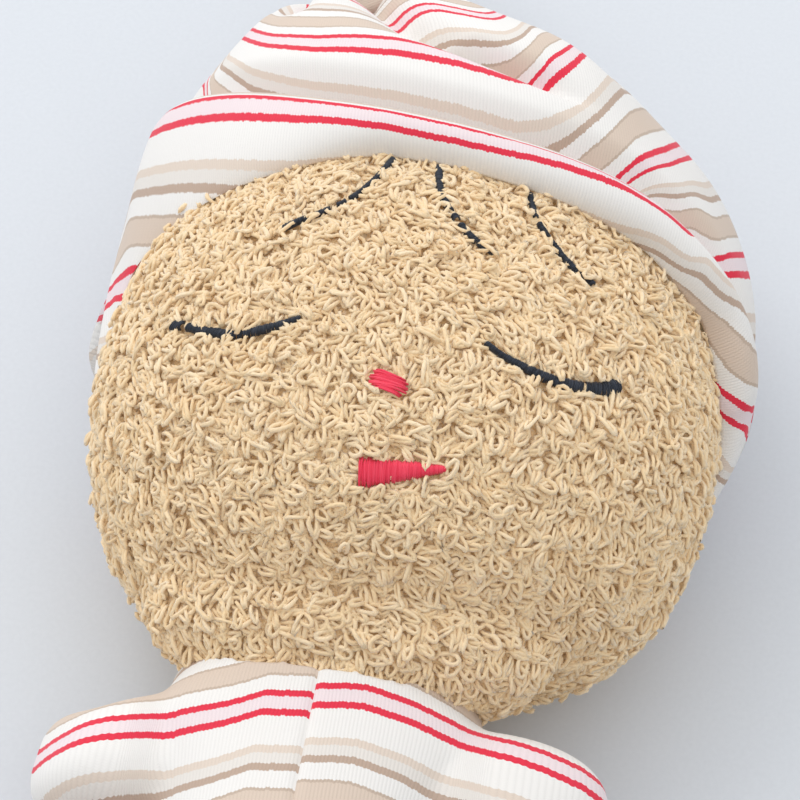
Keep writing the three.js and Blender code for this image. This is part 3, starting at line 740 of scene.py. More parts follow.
# %% The fold's line round the head, by angle in degrees from the doll's left
FOLD_ANGLES = [-12, 2, 10, 18, 26, 34, 40, 50, 60, 70, 80, 90, 100, 110, 118, 128, 138, 148, 158, 166, 174, 184, 196]
EDGE_PLACES = [52, 63, 67, 72.5, 79, 82, 84, 88, 90, 92, 94, 96.5, 98, 95.5, 92.5, 90, 88, 86.5, 85, 83, 79, 70, 58]
CREST_PLACES = [56, 68, 73, 78, 83.5, 87.5, 90, 94, 96.5, 98.5, 100, 102, 104, 106, 108, 110.5, 113, 115, 116, 115.5,
                113, 100, 84]
CREST_RISES = [-1.5, -0.6, 0.4, 0.8, 0.6, 0.4, 0.2, 0.2, 0.4, 0.4, 0.5, 0.6, 0.8, 0.9, 1.0, 1.6, 2.2, 3.2, 4.4, 5.0,
               4.6, 1.5, 0]
EDGE_RISES = [-4, -6, -7.2, -7.5, -7.5, -7.5, -7.2, -6.4, -6, -5.4, -5.4, -6, -6.4, -5.4, -5, -5, -5.4, -6, -6, -4.6,
              -3.4, -3, -3]
VALLEY_RISES = [0, -0.4, -1.2, -2.4, -3.6, -4.4, -5, -6, -6.6, -7, -7, -6.8, -6.6, -6.4, -6, -5.4, -4.6, -3.4, -2.4,
                -1.4, -0.6, 0, 0]


def by_angle(values, angles=FOLD_ANGLES):
    """A value that changes smoothly round the head."""
    def at(degrees):
        fine = np.arange(-200.0, 400.0, 1.0)
        raw = np.pad(np.interp(fine, angles, values), 6, mode="edge")
        return np.interp(degrees, fine, smoothed(raw, 13))
    return at


edge_place, crest_place = by_angle(EDGE_PLACES), by_angle(CREST_PLACES)
crest_rise, edge_rise, valley_rise = by_angle(CREST_RISES), by_angle(EDGE_RISES), by_angle(VALLEY_RISES)
is_fold = by_angle([0, 0, 1, 1, 0, 0], [-60, 0, 14, 170, 190, 260])

# %% Creases of the crown: places along Y, their angle there, depth, width and the side that overhangs
CREASES = [
    ([117, 121, 125, 131, 142, 155, 165], [66, 73, 80, 91, 96, 99, 100], 8.5, 4.2, -0.45),
    ([143, 150, 158, 165], [128, 132, 131, 128], 6.5, 3.4, 0.0),
    ([132, 141, 149, 165], [168, 158, 150, 146], 3.2, 3.4, -0.3),
    ([126, 140, 152, 165], [196, 190, 180, 172], 4.2, 5.0, 0.0),
    ([118, 135, 150, 165], [238, 232, 226, 220], 4.6, 6.0, 0.2),
    ([112, 132, 150, 165], [284, 280, 276, 270], 4.6, 6.5, -0.2),
    ([120, 138, 152, 165], [330, 326, 318, 312], 4.2, 5.5, 0.2),
    ([136, 146, 156, 165], [6, 8, 8, 6], 3.6, 4.4, 0.0),
    ([126, 136, 150, 165], [52, 58, 66, 72], 3.0, 4.0, 0.2),
]


def crease_depth(degrees, y):
    """How far the creases draw the cloth in, for places on the crown."""
    section = cap_section(y)
    girth = (section["half"] + (section["up"] + section["down"]) / 2) / 2
    narrow = np.minimum(1, girth / 22)
    total = np.zeros(np.broadcast(degrees, y).shape)
    for places, angles, depth, width, lean in CREASES:
        off = (degrees - np.interp(y, places, angles) + 180) % 360 - 180
        distance = np.radians(off) * girth
        room = width * np.where(distance * lean > 0, 1 - abs(lean) * 0.7, 1 + abs(lean))
        close = np.exp(-np.abs(distance / (room * np.maximum(narrow, 0.45))) ** 1.5)
        total = total + depth * ease((y - places[0] + 3) / 12) * close * (0.5 + 0.5 * narrow)
    return total


# %% Building the cap's grid
COLUMNS, HEM_ROWS, FRONT_ROWS, TURN_ROWS, BACK_ROWS = 264, 5, 26, 12, 92
CREST_ROW = HEM_ROWS + FRONT_ROWS
VALLEY_ROW = CREST_ROW + TURN_ROWS
HEM_SLOPE, HEM_DEPTH, TURN_DEPTH, TURN_STEP = 0.877, 3.0, 3.4, 1.2
CAP_GIRTH, CAP_CLOTH = 415.0, 0.0009

# Where the filling pushes the crown out or lets it sink: angle and reach, place along Y and reach, height
MOUNDS = [(98, 42, 128, 14, 2.4), (60, 16, 132, 13, 3.4), (32, 22, 144, 18, -4.5), (168, 16, 120, 9, 2.0)]
SNUG = ([-60, -30, -5, 8, 168, 184, 202, 230], [2.6, 6.0, 5.4, 1.6, 0.0, -8.0, -5.0, 2.6])


def cap_columns():
    """The angles of the columns, and for every point its place along Y and its height over the section."""
    degrees = np.arange(COLUMNS) * 360 / COLUMNS - 90
    theta = np.radians(degrees)
    hem = CAP_BACK + HEM_SLOPE * np.clip(cap_surface(theta, np.full(COLUMNS, 45.0))[:, 2], 0, 90)
    fold = is_fold(degrees)
    edge = mix(np.minimum(hem, 66), edge_place(degrees), ease(fold * 1.2))
    crest = mix(edge + 8, crest_place(degrees), ease(fold * 1.2))
    at_edge, at_crest, in_valley = edge_rise(degrees), crest_rise(degrees), valley_rise(degrees)
    rows_y, rows_h = [], []
    for t in np.arange(HEM_ROWS) / HEM_ROWS:
        rows_y.append(edge + mix(HEM_DEPTH, 0.0, t))
        rows_h.append(mix(at_edge - 1.2, at_edge, t) - 0.8 * (1 - t) * (1 - fold))
    fullness = np.interp(crest - edge, [6, 12, 26], [2.3, 1.9, 1.25])
    for k in range(FRONT_ROWS + 1):
        t = 1 - math.cos(math.pi / 2 * k / FRONT_ROWS)
        rows_y.append(mix(edge, crest, min(1.0, t)))
        rows_h.append(mix(at_edge, at_crest, swell(t, fullness)))
    for k in range(1, TURN_ROWS + 1):
        turn = math.pi / 2 * k / TURN_ROWS
        rows_y.append(crest + TURN_DEPTH * math.sin(turn) ** 1.2 + TURN_STEP * k / TURN_ROWS)
        rows_h.append(mix(in_valley, at_crest, max(0.0, math.cos(turn)) ** 0.8))
    start = crest + TURN_DEPTH + TURN_STEP
    for t in np.arange(1, BACK_ROWS + 1) / BACK_ROWS:
        y = mix(start, CAP_END - 0.01, mix(t, math.sin(math.pi / 2 * t), 0.75))
        puffed = sum(high * np.exp(-((degrees - angle) / wide) ** 2 - ((y - place) / long) ** 2)
                     for angle, wide, place, long, high in MOUNDS)
        snug = np.interp(degrees, *SNUG) * (1 - ease((y - edge) / 34))
        rows_y.append(y)
        rows_h.append(mix(in_valley, 0, ease((y - start) / 9)) + puffed - snug - crease_depth(degrees, y))
    return degrees, theta, np.array(rows_y), np.array(rows_h)


degrees, theta, rows_y, rows_h = cap_columns()
grid = cap_surface(theta, rows_y) + cap_out(theta, np.minimum(rows_y, 162)) * rows_h[..., None]
knot_axis = np.array([-14.0, 0.0, 36.0])
closing = [(grid[-1] - knot_axis) * (share, 1, share) + knot_axis + (0, further, 0)
           for share, further in ((0.8, 1.0), (0.55, 1.3), (0.25, 0.8))]
grid = np.concatenate([grid, closing])
rows_y = np.concatenate([rows_y, rows_y[-1] + np.array([[0.01], [0.02], [0.03]])])

# %% [markdown]
# The stripes run round the tube, so they stay level along Y at the sides and the back. In front the fold
# takes the cloth with it: the pair of red lines named C lies along the fold's crest, pair B is hidden in the
# valley and comes out at its two ends, and pair A crosses the front panel. For each column, the places of
# the pairs are known, and the cloth between two pairs is one repeat of the pattern.

# %% Where the pairs of red lines cross each column
PAIR_ANGLES = [-90, -40, -10, 0, 10, 20, 31, 41, 50, 57, 66, 75, 91, 117, 130, 146, 160, 175, 190, 220, 270]
PAIRS = {
    "A": [170, 168, 164, 160, 156, 152, 149, 146, 142, 137, 127, 120, 123, 125, 130, 141, 150, 156, 164, 168, 170],
    "B": [142, 142, 141, 138, 134, 129, 122, 114, 106.5, 102.5, 101, 101, 108, 116, 118, 124, 131, 137, 141, 142, 142],
    "C": [109, 109, 108, 107, 103, 97, 91, 88, 88, 88, 88, 88, 88, 88, 88, 90, 100, 106, 110, 110, 109],
    "D": [75, 74, 70, 68, 67, 66, 60, 60, 60, 60, 60, 60, 60, 60, 60, 60, 75, 81, 80, 78, 75],
    "E": [43, 43, 41, 40, 39, 38, 30, 30, 30, 30, 30, 30, 30, 30, 30, 30, 36, 42, 43, 43, 43],
}
PAIR_MIDDLE = 2.7

# The pattern's place along the face edge, the crest and the far side of the valley
EDGE_ALONG = ([0, 8, 16, 25, 33, 41, 49, 57, 65, 74, 90, 106, 115, 123, 131, 139, 147, 155, 164, 172, 178],
              [36, 33, 27.5, 24.8, 22.8, 21, 17.5, 13, 12, 11.5, 11, 11.8, 12.5, 14, 16, 18.5, 21, 23.5, 27, 31, 34])
CREST_ALONG = ([41, 49, 57, 65, 74, 84, 150, 160, 172], [4.9, 4.6, 4.2, 3.2, 2, 0.5, 0.5, 1.5, 6])
VALLEY_ALONG = ([50, 57, 62, 70, 78, 120, 135, 150, 164], [-17, -26, -31, -39, -41, -40, -38, -30, -20])


def cloth_along():
    """The place on the cloth, in mm of pattern, for every point of the grid."""
    steps = np.linalg.norm(np.diff(grid, axis=0), axis=2)
    length = np.concatenate([np.zeros((1, COLUMNS)), np.cumsum(steps, axis=0)])
    pairs = {name: by_angle(values, PAIR_ANGLES)(degrees) for name, values in PAIRS.items()}
    along = np.empty_like(length)
    for c, d in enumerate(degrees):
        front = 3 < d < 176
        rear = VALLEY_ROW if front else HEM_ROWS

        def length_at(y):
            return float(np.interp(y, rows_y[rear:, c], length[rear:, c]))

        if front:
            known = [(length[HEM_ROWS, c], float(np.interp(d, *EDGE_ALONG)))]
            if d < 40:
                known.append((length_at(pairs["C"][c]), PAIR_MIDDLE))
            else:
                crest = float(np.interp(d, *CREST_ALONG))
                known.append((length[CREST_ROW, c], crest))
                natural = crest - 0.8 * (length[VALLEY_ROW, c] - length[CREST_ROW, c])
                hidden = ease((d - 48) / 8) * (1 - ease((d - 150) / 14))
                known.append((length[VALLEY_ROW, c], mix(natural, float(np.interp(d, *VALLEY_ALONG)), hidden)))
        else:
            known = [(length_at(pairs[name][c]), repeats * STRIPE_REPEAT + PAIR_MIDDLE)
                     for name, repeats in (("E", 2), ("D", 1), ("C", 0)) if pairs[name][c] > rows_y[HEM_ROWS, c]]
        if known[-1][1] > PAIR_MIDDLE - STRIPE_REPEAT + 1.5:
            known.append((max(length_at(pairs["B"][c]), known[-1][0] + 2), PAIR_MIDDLE - STRIPE_REPEAT))
        last_pair = max(length_at(min(pairs["A"][c], CAP_END - 1)), known[-1][0] + 3)
        known.append((last_pair, PAIR_MIDDLE - 2 * STRIPE_REPEAT))
        beyond = length[-1, c] + 6
        known.append((beyond, known[-1][1] - (beyond - last_pair)))
        known.insert(0, (known[0][0] - 40, known[0][1] + 36))
        along[:, c] = np.interp(length[:, c], *zip(*known))
    wrapped = np.concatenate([along[:, -3:], along, along[:, :3]], axis=1)
    return np.stack([smoothed(row, 7) for row in wrapped])


cap = jersey_grid("cap", grid, CAP_GIRTH / COLUMNS, cloth_along())
thick = cap.modifiers.new("cloth_thickness", "SOLIDIFY")
thick.thickness, thick.offset = CAP_CLOTH, -1
apply_modifiers(cap)
smooth_shading(cap)
print("cap:", len(cap.data.polygons), "faces")


# %% [markdown]
# ## The jersey suit
# The trunk, its two squarish shoulders and the legs are stuffed forms first. They are joined into one and
# meshed anew, so the cloth runs smoothly from one to the next. A short cloth simulation then blows the suit
# up a little while its seams hold, as the filling does. Each sleeve is a tube of its own with a rounded root.

# %% Trunk, legs and shoulders
TRUNK_LENGTH, TRUNK_MIDDLE, HIP_CUT = 98.0, 25.0, -97.0
ARM_ROOT, LEG_ROOT = (42.0, -21.0, 21.0), (16.0, -106.0, 22.0)
ARM = dict(root=ARM_ROOT, slope=9, length=40, widths=(21.4, 19.0), root_thickness=23.5, root_length=14, start=10.5)
LEG = dict(root=LEG_ROOT, slope=7, length=38, widths=(25.0, 22.0), root_thickness=22, root_length=18, start=10.0)
BOTH_SIDES = (("left", 1), ("right", -1))

# Small corrections of the shoulders: a place, how far it is pulled, and how far round it the cloth follows
PULLS = [((-44, -10, 36), (2.4, -3.8, -1.8), 13), ((-54, -22, 39), (3.4, 0.0, 0.0), 11),
         ((52, -20, 36), (3.6, 0.0, 0.0), 13)]


def trunk_section(y):
    depth = 2.0 - y
    shoulders = np.interp(depth, [0, 8, 11, 14, 18, 24, 33, 42], [30.5, 32, 35, 38.5, 41, 37, 31.7, 29])
    half = np.where(depth < 42, shoulders, mix(29.0, 31.5, ease((depth - 42) / 56))) - 0.4
    seat = swell((TRUNK_LENGTH + y) / 24)
    top = mix(mix(49.1, 50.0, ease(depth / 10)), 51.0, ease((depth - 10) / 42))
    under = mix(4.9, 0.4, ease(depth / 20))
    return dict(x=0.0, z=TRUNK_MIDDLE, half=half * seat, up=(top - TRUNK_MIDDLE) * seat,
                down=(TRUNK_MIDDLE - under) * seat)


def shoulder_section(sign):
    """The squarish corner that front and back form before the sleeve."""
    def section(y):
        round_end = np.clip(1 - np.abs((y + 22.5) / 14) ** 3, 0, 1) ** (1 / 3)
        return dict(x=sign * 34.5, z=27.0, half=20.4 * round_end, up=17.5 * round_end, down=19.5 * round_end)
    return section


def hang(piece, sign, root, slope):
    """Slopes a piece that lies along Y, and moves it to its root on one side of the doll."""
    points = read_points(piece)
    turn = math.radians(slope)
    y, z = points[:, 1].copy(), points[:, 2].copy()
    points[:, 1] = y * math.cos(turn) - z * math.sin(turn)
    points[:, 2] = y * math.sin(turn) + z * math.cos(turn)
    write_points(piece, points + (sign * root[0], *root[1:]))


def limb_form(name, sign, root, slope, length, widths, root_thickness, root_length, start):
    """A tube that hangs along -Y from its root and slopes down by an angle, with a rounded root."""
    def section(y):
        half = mix(*widths, ease(-y / length)) / 2
        thick = mix(root_thickness / 2, half, ease(-y / root_length))
        round_end = np.where(y > 0, np.sqrt(np.clip(1 - (y / start) ** 2, 0, 1)), 1.0) * swell((length + 3 + y) / 3.5)
        return dict(x=0.0, z=0.0, half=half * round_end, up=thick * round_end, down=thick * round_end)
    piece = stuffed_form(name, section, start, -length - 3, 40, 40)
    hang(piece, sign, root, slope)
    return piece


def pulled(piece, place, pull, reach):
    """Moves the cloth round a place, and less the further away it is."""
    points = read_points(piece)
    far = ((points - np.array(place, float)) ** 2).sum(1) / reach ** 2
    write_points(piece, points + np.exp(-far)[:, None] * np.array(pull, float))


suit = stuffed_form("suit", trunk_section, 2.0, -TRUNK_LENGTH, 72, 60)
parts = [suit]
for sign in (-1, 1):
    parts.append(limb_form("leg", sign, **LEG))
    parts.append(stuffed_form("shoulder", shoulder_section(sign), -9.0, -36.0, 32, 24))
made_one(parts, voxel=0.0014, turns=9)
for correction in PULLS:
    pulled(suit, *correction)
print("suit:", len(suit.data.polygons), "faces after the remesh")

# %% Trimming the neckline, and an edge down the middle
NECK_POINT, NECK_SLOPE = (0, -7.0, 51), Vector((0.0, 1.0, 0.2)).normalized()
start_editing(suit)
bpy.ops.mesh.bisect(plane_co=Vector(metres(NECK_POINT)), plane_no=NECK_SLOPE, use_fill=True, clear_outer=True)
bpy.ops.mesh.select_all(action="SELECT")
bpy.ops.mesh.bisect(plane_co=Vector(metres((0, 0, 0))), plane_no=(1, 0, 0))
bpy.ops.mesh.select_all(action="SELECT")
bpy.ops.mesh.quads_convert_to_tris()
bpy.ops.mesh.tris_convert_to_quads()
stop_editing()

# %% Blowing the suit up while its seams hold
def seam_nearness(points, reach):
    """1 on the middle seam, in front and at the back, and 0 away from it."""
    return np.clip(1 - np.abs(points[:, 0]) / reach, 0, 1) * (points[:, 1] > -100)


def held(points):
    """How firmly the cloth is held: fully at the neckline, the legs' ends and the floor, less at the seam."""
    neckline = np.clip(1 - np.abs((points[:, 1] + 7.0) + 0.2 * (points[:, 2] - 51)) / 3, 0, 1)
    ends = np.clip((-141 - points[:, 1]) / 4, 0, 1)
    rest = np.clip((2.2 - points[:, 2]) / 1.2, 0, 1)
    return np.clip(neckline + ends + rest + seam_nearness(points, 1.6) * 0.9, 0, 1)


def blown_up(piece, furthest):
    """Pressure and no gravity for twenty frames, and no point moves further than so many mm."""
    start = read_points(piece)
    group = piece.vertex_groups.new(name="held")
    for index, weight in enumerate(held(start)):
        group.add([index], float(weight), "REPLACE")
    cloth = piece.modifiers.new("filling", "CLOTH")
    settings = cloth.settings
    settings.use_pressure, settings.uniform_pressure_force = True, 3.0
    settings.effector_weights.gravity = 0
    settings.vertex_group_mass = "held"
    settings.quality, settings.tension_stiffness, settings.bending_stiffness = 4, 12, 0.3
    cloth.point_cache.frame_start, cloth.point_cache.frame_end = 1, 20
    for frame_number in range(1, 21):
        bpy.context.scene.frame_set(frame_number)
    apply_modifiers(piece)
    bpy.context.scene.frame_set(1)
    moved = read_points(piece) - start
    far = np.linalg.norm(moved, axis=1, keepdims=True)
    write_points(piece, start + moved * np.minimum(1, furthest / np.maximum(far, 1e-9)))
    return float(far.max())


print("the suit swelled by up to", round(blown_up(suit, 2.0), 2), "mm before the cap")
subdivided(suit)
points = read_points(suit)
drawn_in = points - read_normals(suit) * (seam_nearness(points, 2.2) ** 2 * 0.6)[:, None]
drawn_in[:, 2] = np.maximum(drawn_in[:, 2], 0.5)
write_points(suit, drawn_in)

# %% [markdown]
# The stripes of the suit run across it. On each half of the front they were cut a little differently, so
# the red lines miss each other by almost 2 mm at the middle seam. They rise and fall with the shoulders as
# the photograph shows, and run level on the back and round the arms and legs.

# %% The suit's pattern
LEFT_OF_PICTURE = ([-60, -50.6, -31.6, -15.5, -9.1, -1.1], [-24.0, -23.0, -19.1, -16.3, -13.6, -12.8])
RIGHT_OF_PICTURE = ([0, 9.5, 21.3, 33.2, 45.2, 60], [-10.9, -9.4, -10.8, -12.6, -14.2, -16.2])


def suit_pattern(piece):
    """U across the wales and V along them, for every corner of the piece's faces."""
    mesh = piece.data
    points = read_points(piece)
    corner_vertex = np.empty(len(mesh.loops), np.int32)
    mesh.loops.foreach_get("vertex_index", corner_vertex)
    totals = np.empty(len(mesh.polygons), np.int32)
    mesh.polygons.foreach_get("loop_total", totals)
    centres = np.empty(len(mesh.polygons) * 3)
    mesh.polygons.foreach_get("center", centres)
    centre = np.repeat(from_collar(centres.reshape(-1, 3)), totals, axis=0)
    x, y, z = points[corner_vertex].T
    left_half = centre[:, 0] < 0
    line = np.where(left_half, np.interp(x, *LEFT_OF_PICTURE), np.interp(x, *RIGHT_OF_PICTURE))
    fade = ease((z - 18) / 14) * (1 - ease((-y - 22) / 60))
    v = mix(np.where(left_half, -17.0, -15.0), line, fade) - y
    side = np.sign(x)
    arm_turn = np.arctan2(x - side * ARM_ROOT[0], z - 21.0)
    leg_turn = np.arctan2(x - side * LEG_ROOT[0], z - 20.0)
    on_arm, on_leg = ease((np.abs(x) - 27) / 8) * (y > -75), ease((-y - 92) / 10)
    u = mix(np.arctan2(x, z - 22) * 29, side * ARM_ROOT[0] + arm_turn * 11, on_arm)
    u = mix(u, side * LEG_ROOT[0] + leg_turn * 12.5, on_leg)
    layer = mesh.uv_layers.get("knit") or mesh.uv_layers.new(name="knit")
    layer.data.foreach_set("uv", (np.stack([u + 200, v + 4 * STRIPE_REPEAT], -1) / 100).ravel())


suit_pattern(suit)
suit.data.materials.clear()
suit.data.materials.append(suit_jersey)
smooth_shading(suit)

# %% Cutting the suit where its legs begin to bend
def cut_off(piece, name, cuts):
    """A copy of the piece that keeps what lies on the far side of each plane, closed where it was cut."""
    make_active(piece)
    bpy.ops.object.duplicate()
    part = bpy.context.object
    part.name = name
    part.data.name = name
    for point, way in cuts:
        start_editing(part)
        bpy.ops.mesh.bisect(plane_co=Vector(metres(point)), plane_no=Vector(way), use_fill=True, clear_inner=True)
        stop_editing()
    make_active(part)
    bpy.ops.object.shade_smooth_by_angle(angle=math.radians(50))
    return part


legs = {side: cut_off(suit, side + "_leg_cloth", [((0, 0, 0), (sign, 0, 0)), ((0, HIP_CUT, 0), (0, -1, 0))])
        for side, sign in BOTH_SIDES}
trunk_cloth = cut_off(suit, "trunk_cloth", [((0, HIP_CUT, 0), (0, 1, 0))])
deselect_all()
bpy.data.objects.remove(suit)
print("cut:", {p.name: len(p.data.polygons) for p in (trunk_cloth, *legs.values())})

# %% Sleeves
sleeves = {}
for side, sign in BOTH_SIDES:
    sleeves[side] = sleeve = limb_form(side + "_sleeve_cloth", sign, **ARM)
    subdivided(sleeve)
    suit_pattern(sleeve)
    sleeve.data.materials.append(suit_jersey)
    smooth_shading(sleeve)
print("sleeves:", len(sleeves))


# %% [markdown]
# ## The loops of the terry
# Terry is a ground cloth with small loops of yarn that stand up from it, and here they are long and lie
# over one another. Each loop is a thin tube from foot to foot: it rises as a narrow drop, then bends over
# and twists a little. The feet are spread evenly but not in rows. The loops lean down the face, nearly all
# one way at the cap and more loosely below it. None grows under the cap or through the embroidery.

# %% Spreading the feet of the loops
chance = np.random.default_rng(11)


def spread(piece, spacing, wanted):
    """Places on the piece's surface that are no closer than the spacing, with the way out at each."""
    mesh = piece.data
    mesh.calc_loop_triangles()
    corners = np.empty(len(mesh.loop_triangles) * 3, np.int32)
    mesh.loop_triangles.foreach_get("vertices", corners)
    corners = corners.reshape(-1, 3)
    points, normals = read_points(piece), read_normals(piece)
    a, b, c = points[corners[:, 0]], points[corners[:, 1]], points[corners[:, 2]]
    area = np.linalg.norm(np.cross(b - a, c - a), axis=1) / 2
    count = int(area.sum() / spacing ** 2 * 5)
    pick = chance.choice(len(area), count, p=area / area.sum())
    r1, r2 = np.sqrt(chance.random(count)), chance.random(count)
    weights = np.stack([1 - r1, r1 * (1 - r2), r1 * r2], -1)
    places = (points[corners[pick]] * weights[..., None]).sum(1)
    outs = unit((normals[corners[pick]] * weights[..., None]).sum(1))
    keep = wanted(places, outs)
    places, outs = places[keep], outs[keep]
    cells, chosen = {}, []
    keys = np.floor(places / spacing).astype(int)
    for i, (x, y, z) in enumerate(keys):
        near = [j for dx in (-1, 0, 1) for dy in (-1, 0, 1) for dz in (-1, 0, 1)
                for j in cells.get((x + dx, y + dy, z + dz), ())]
        if near and ((places[near] - places[i]) ** 2).sum(1).min() < spacing ** 2:
            continue
        cells.setdefault((x, y, z), []).append(i)
        chosen.append(i)
    return places[chosen], outs[chosen]


MOST_IN_A_PIECE = 2250


def loops(name, places, outs, lean, size=1.0):
    """One piece or more of loops that stand on the places and lean the given way."""
    count = len(places)
    draw = lambda low, high: chance.uniform(low, high, count)[:, None]
    lean = unit(lean - outs * (lean * outs).sum(1, keepdims=True))
    angle = chance.normal(0, 0.9, count)[:, None]
    lean = lean * np.cos(angle) + np.cross(outs, lean) * np.sin(angle)
    spin = draw(-1.0, 1.0)
    side = np.cross(outs, lean) * np.cos(spin) + lean * np.sin(spin)
    high, wide = draw(3.1, 5.2) * size, draw(1.7, 3.4) * size
    over, tilt, turn, feet = draw(1.4, 2.8), draw(0.05, 0.5), draw(-1.4, 1.4), draw(-0.7, 0.5)
    s = np.linspace(0.02, 0.98, 11)[None, :]
    rise = (1 - np.cos(2 * math.pi * s)) / 2
    across = wide / 2 * np.sin(2 * math.pi * s) * np.sin(math.pi * s) ** 0.9 + feet * (s - 0.5)
    ahead = high * (1 - np.cos(over * rise)) / over
    upward = high * np.sin(over * rise) / over
    up_way = (outs * np.cos(tilt) + lean * np.sin(tilt))[:, None, :]
    on_way = (lean * np.cos(tilt) - outs * np.sin(tilt))[:, None, :]
    turned = (turn * rise)[..., None]
    side_way = side[:, None, :] * np.cos(turned) + on_way * np.sin(turned)
    sweep = draw(-0.5, 0.5) * ahead ** 2 / high
    lines = (places[:, None, :] + (across + sweep)[..., None] * side_way + ahead[..., None] * on_way
             + upward[..., None] * up_way)
    lines[..., 2] = np.maximum(lines[..., 2], 0.6)
    rising = on_way * np.sin(over * rise)[..., None] + up_way * np.cos(over * rise)[..., None]
    flat_way = unit(np.cross(side_way, rising))
    shades = chance.uniform(0.2, 0.62, count)
    thick = draw(0.36, 0.46) * (0.85 + 0.3 * np.sin(math.pi * s))
    made = []
    for k, first in enumerate(range(0, count, MOST_IN_A_PIECE)):
        part = slice(first, first + MOST_IN_A_PIECE)
        piece = tubes(name + "_" + str(k + 1), lines[part], flat_way[part], thick[part], shades[part])
        piece.data.materials.append(yarn)
        made.append(piece)
    print(name + ":", count, "loops")
    return made


# %% Loops on the head
CLEAR_ABOVE, CLEAR_BELOW, CLEAR_SPREAD = 2.0, 0.95, 0.5
stitch_points = np.concatenate([read_points(piece) for piece in embroidery])
stitch_tree = KDTree(len(stitch_points))
for index, point in enumerate(stitch_points):
    stitch_tree.insert(Vector(point), index)
stitch_tree.balance()


def on_open_terry(places, outs):
    """Whether a loop may stand at each place: below the cap's edge and off the stitches, and fewer underneath."""
    section = head_section(places[:, 1])
    rise = places[:, 2] - section["z"]
    aside = (places[:, 0] - section["x"]) / section["half"]
    rise = rise / np.where(rise > 0, section["up"], section["down"])
    across, up = (np.sign(v) * np.abs(v) ** (ROUNDNESS / 2) for v in (aside, rise))
    degrees = np.degrees(np.arctan2(up, across))
    degrees = np.where(degrees < -90, degrees + 360, degrees)
    behind = CAP_BACK + HEM_SLOPE * places[:, 2] + 5
    in_front = edge_place(degrees) + 3.0 + 4.0 * ease((60 - degrees) / 30)
    edge = mix(behind, in_front, ease(is_fold(degrees) * 1.2))
    keep = (places[:, 1] < edge) & (places[:, 1] > -10)
    keep &= (places[:, 2] > 6) | (chance.random(len(places)) < 0.5)
    for i in np.nonzero(keep & (places[:, 2] > 45))[0]:
        nearest, _, distance = stitch_tree.find(Vector(places[i]))
        above = places[i, 1] > nearest.y + 0.2
        keep[i] = distance > (CLEAR_ABOVE if above else CLEAR_BELOW) + CLEAR_SPREAD * chance.random()
    return keep


places, outs = spread(head_cloth, 1.15, on_open_terry)
x, y = places[:, 0], places[:, 1]
flow = np.stack([0.55 + 0.25 * np.sin(y / 11 + x / 17), -1.0 + 0 * x, 0 * x], -1)
flow = flow + np.sin(places[:, [1, 0, 2]] / 9.0) * 0.45 * (1 - ease((y - 70) / 25))[:, None]
head_loops = loops("head_loops", places, outs, flow)


# %% [markdown]
# ## Hands and feet
# Hands and feet are closed terry pads of the same cloth as the face, set into the cuffs. Their loops lean
# towards the fingertips and the toes.

# %% Pads of terry: the limb, and the pad's length, width and extra height
PADS = {"hand": (ARM, 25, 23.5, 0), "foot": (LEG, 24, 27, 5)}
PAD_LEAN = (0.15, -1.0, -0.2)


def pad_form(name, sign, limb, pad_length, pad, rise):
    length, cuff = limb["length"], limb["widths"][1]

    def section(y):
        t = np.clip((-y - length) / pad_length, 0, 1)
        round_end = swell((pad_length + length + y) / pad_length * 1.7)
        start = swell((-y - length + 8) / 2.5)
        half = (mix(cuff, pad, swell(2.2 * t)) / 2 - 1.6) * np.minimum(round_end, start)
        return dict(x=0.0, z=0.0, half=half, up=half + rise * ease(1.4 * t) * round_end, down=half)

    piece = stuffed_form(name, section, -length + 8, -length - pad_length + 1.5, 48, 40)
    hang(piece, sign, limb["root"], limb["slope"])
    relaxed(piece, 2)
    smooth_shading(piece)
    piece.data.materials.append(ground)
    return piece


def past_the_cuff(limb):
    """Where the loops of a pad may stand: past the cuff, and fewer near the floor."""
    cuff_end = limb["root"][1] - limb["length"] * math.cos(math.radians(limb["slope"])) - 0.6
    return lambda places, outs: (places[:, 1] < cuff_end) & ((places[:, 2] > 3) | (chance.random(len(places)) < 0.5))


pads, pad_loops = {}, {}
for side, sign in BOTH_SIDES:
    for kind, (limb, *sizes) in PADS.items():
        name = side + "_" + kind
        pads[name] = pad_form(name + "_cloth", sign, limb, *sizes)
        places, outs = spread(pads[name], 1.35, past_the_cuff(limb))
        pad_loops[name] = loops(name + "_loops", places, outs, np.broadcast_to(PAD_LEAN, places.shape), size=0.9)

# %% [markdown]
# ## The knot and the free end of the cap
# The tube of the cap is gathered and tied in one overhand knot. What shows of it are wraps of the pleated
# tube over one another, and past them the free end, which flares out in pleats and ends in a cut hem.

# %% Wraps of the knot
KNOT = np.array([-14.0, 176.3, 36.0])


def wrap(name, place, radii, lean_x, lean_z, width, thickness, start, swing):
    """A closed wrap of pleated cloth round the knot, as a flattened ring that leans."""
    stations, around = 64, 28
    a = 2 * math.pi * np.arange(stations)[:, None] / stations
    b = 2 * math.pi * np.arange(around) / around
    pleat = 1 + 0.07 * np.sin(7 * b + 1.5 * np.sin(a)) + 0.03 * np.sin(13 * b + a * 2)
    out = thickness * pleat * np.cos(b)
    points = np.stack([(radii[0] + out) * np.cos(a), swing * np.sin(2 * a) + width * pleat * np.sin(b),
                       (radii[1] + out) * np.sin(a)], -1)
    turn = np.array(Matrix.Rotation(lean_z, 3, "Z") @ Matrix.Rotation(lean_x, 3, "X"))
    length = math.pi * sum(radii) / stations
    along = np.broadcast_to(start + length * np.arange(stations + 1)[:, None], (stations + 1, around))
    piece = jersey_grid(name, points @ turn.T + KNOT + (0, place, 0), 1.5, along, closed=True)
    face_outward(piece)
    smooth_shading(piece)
    return piece


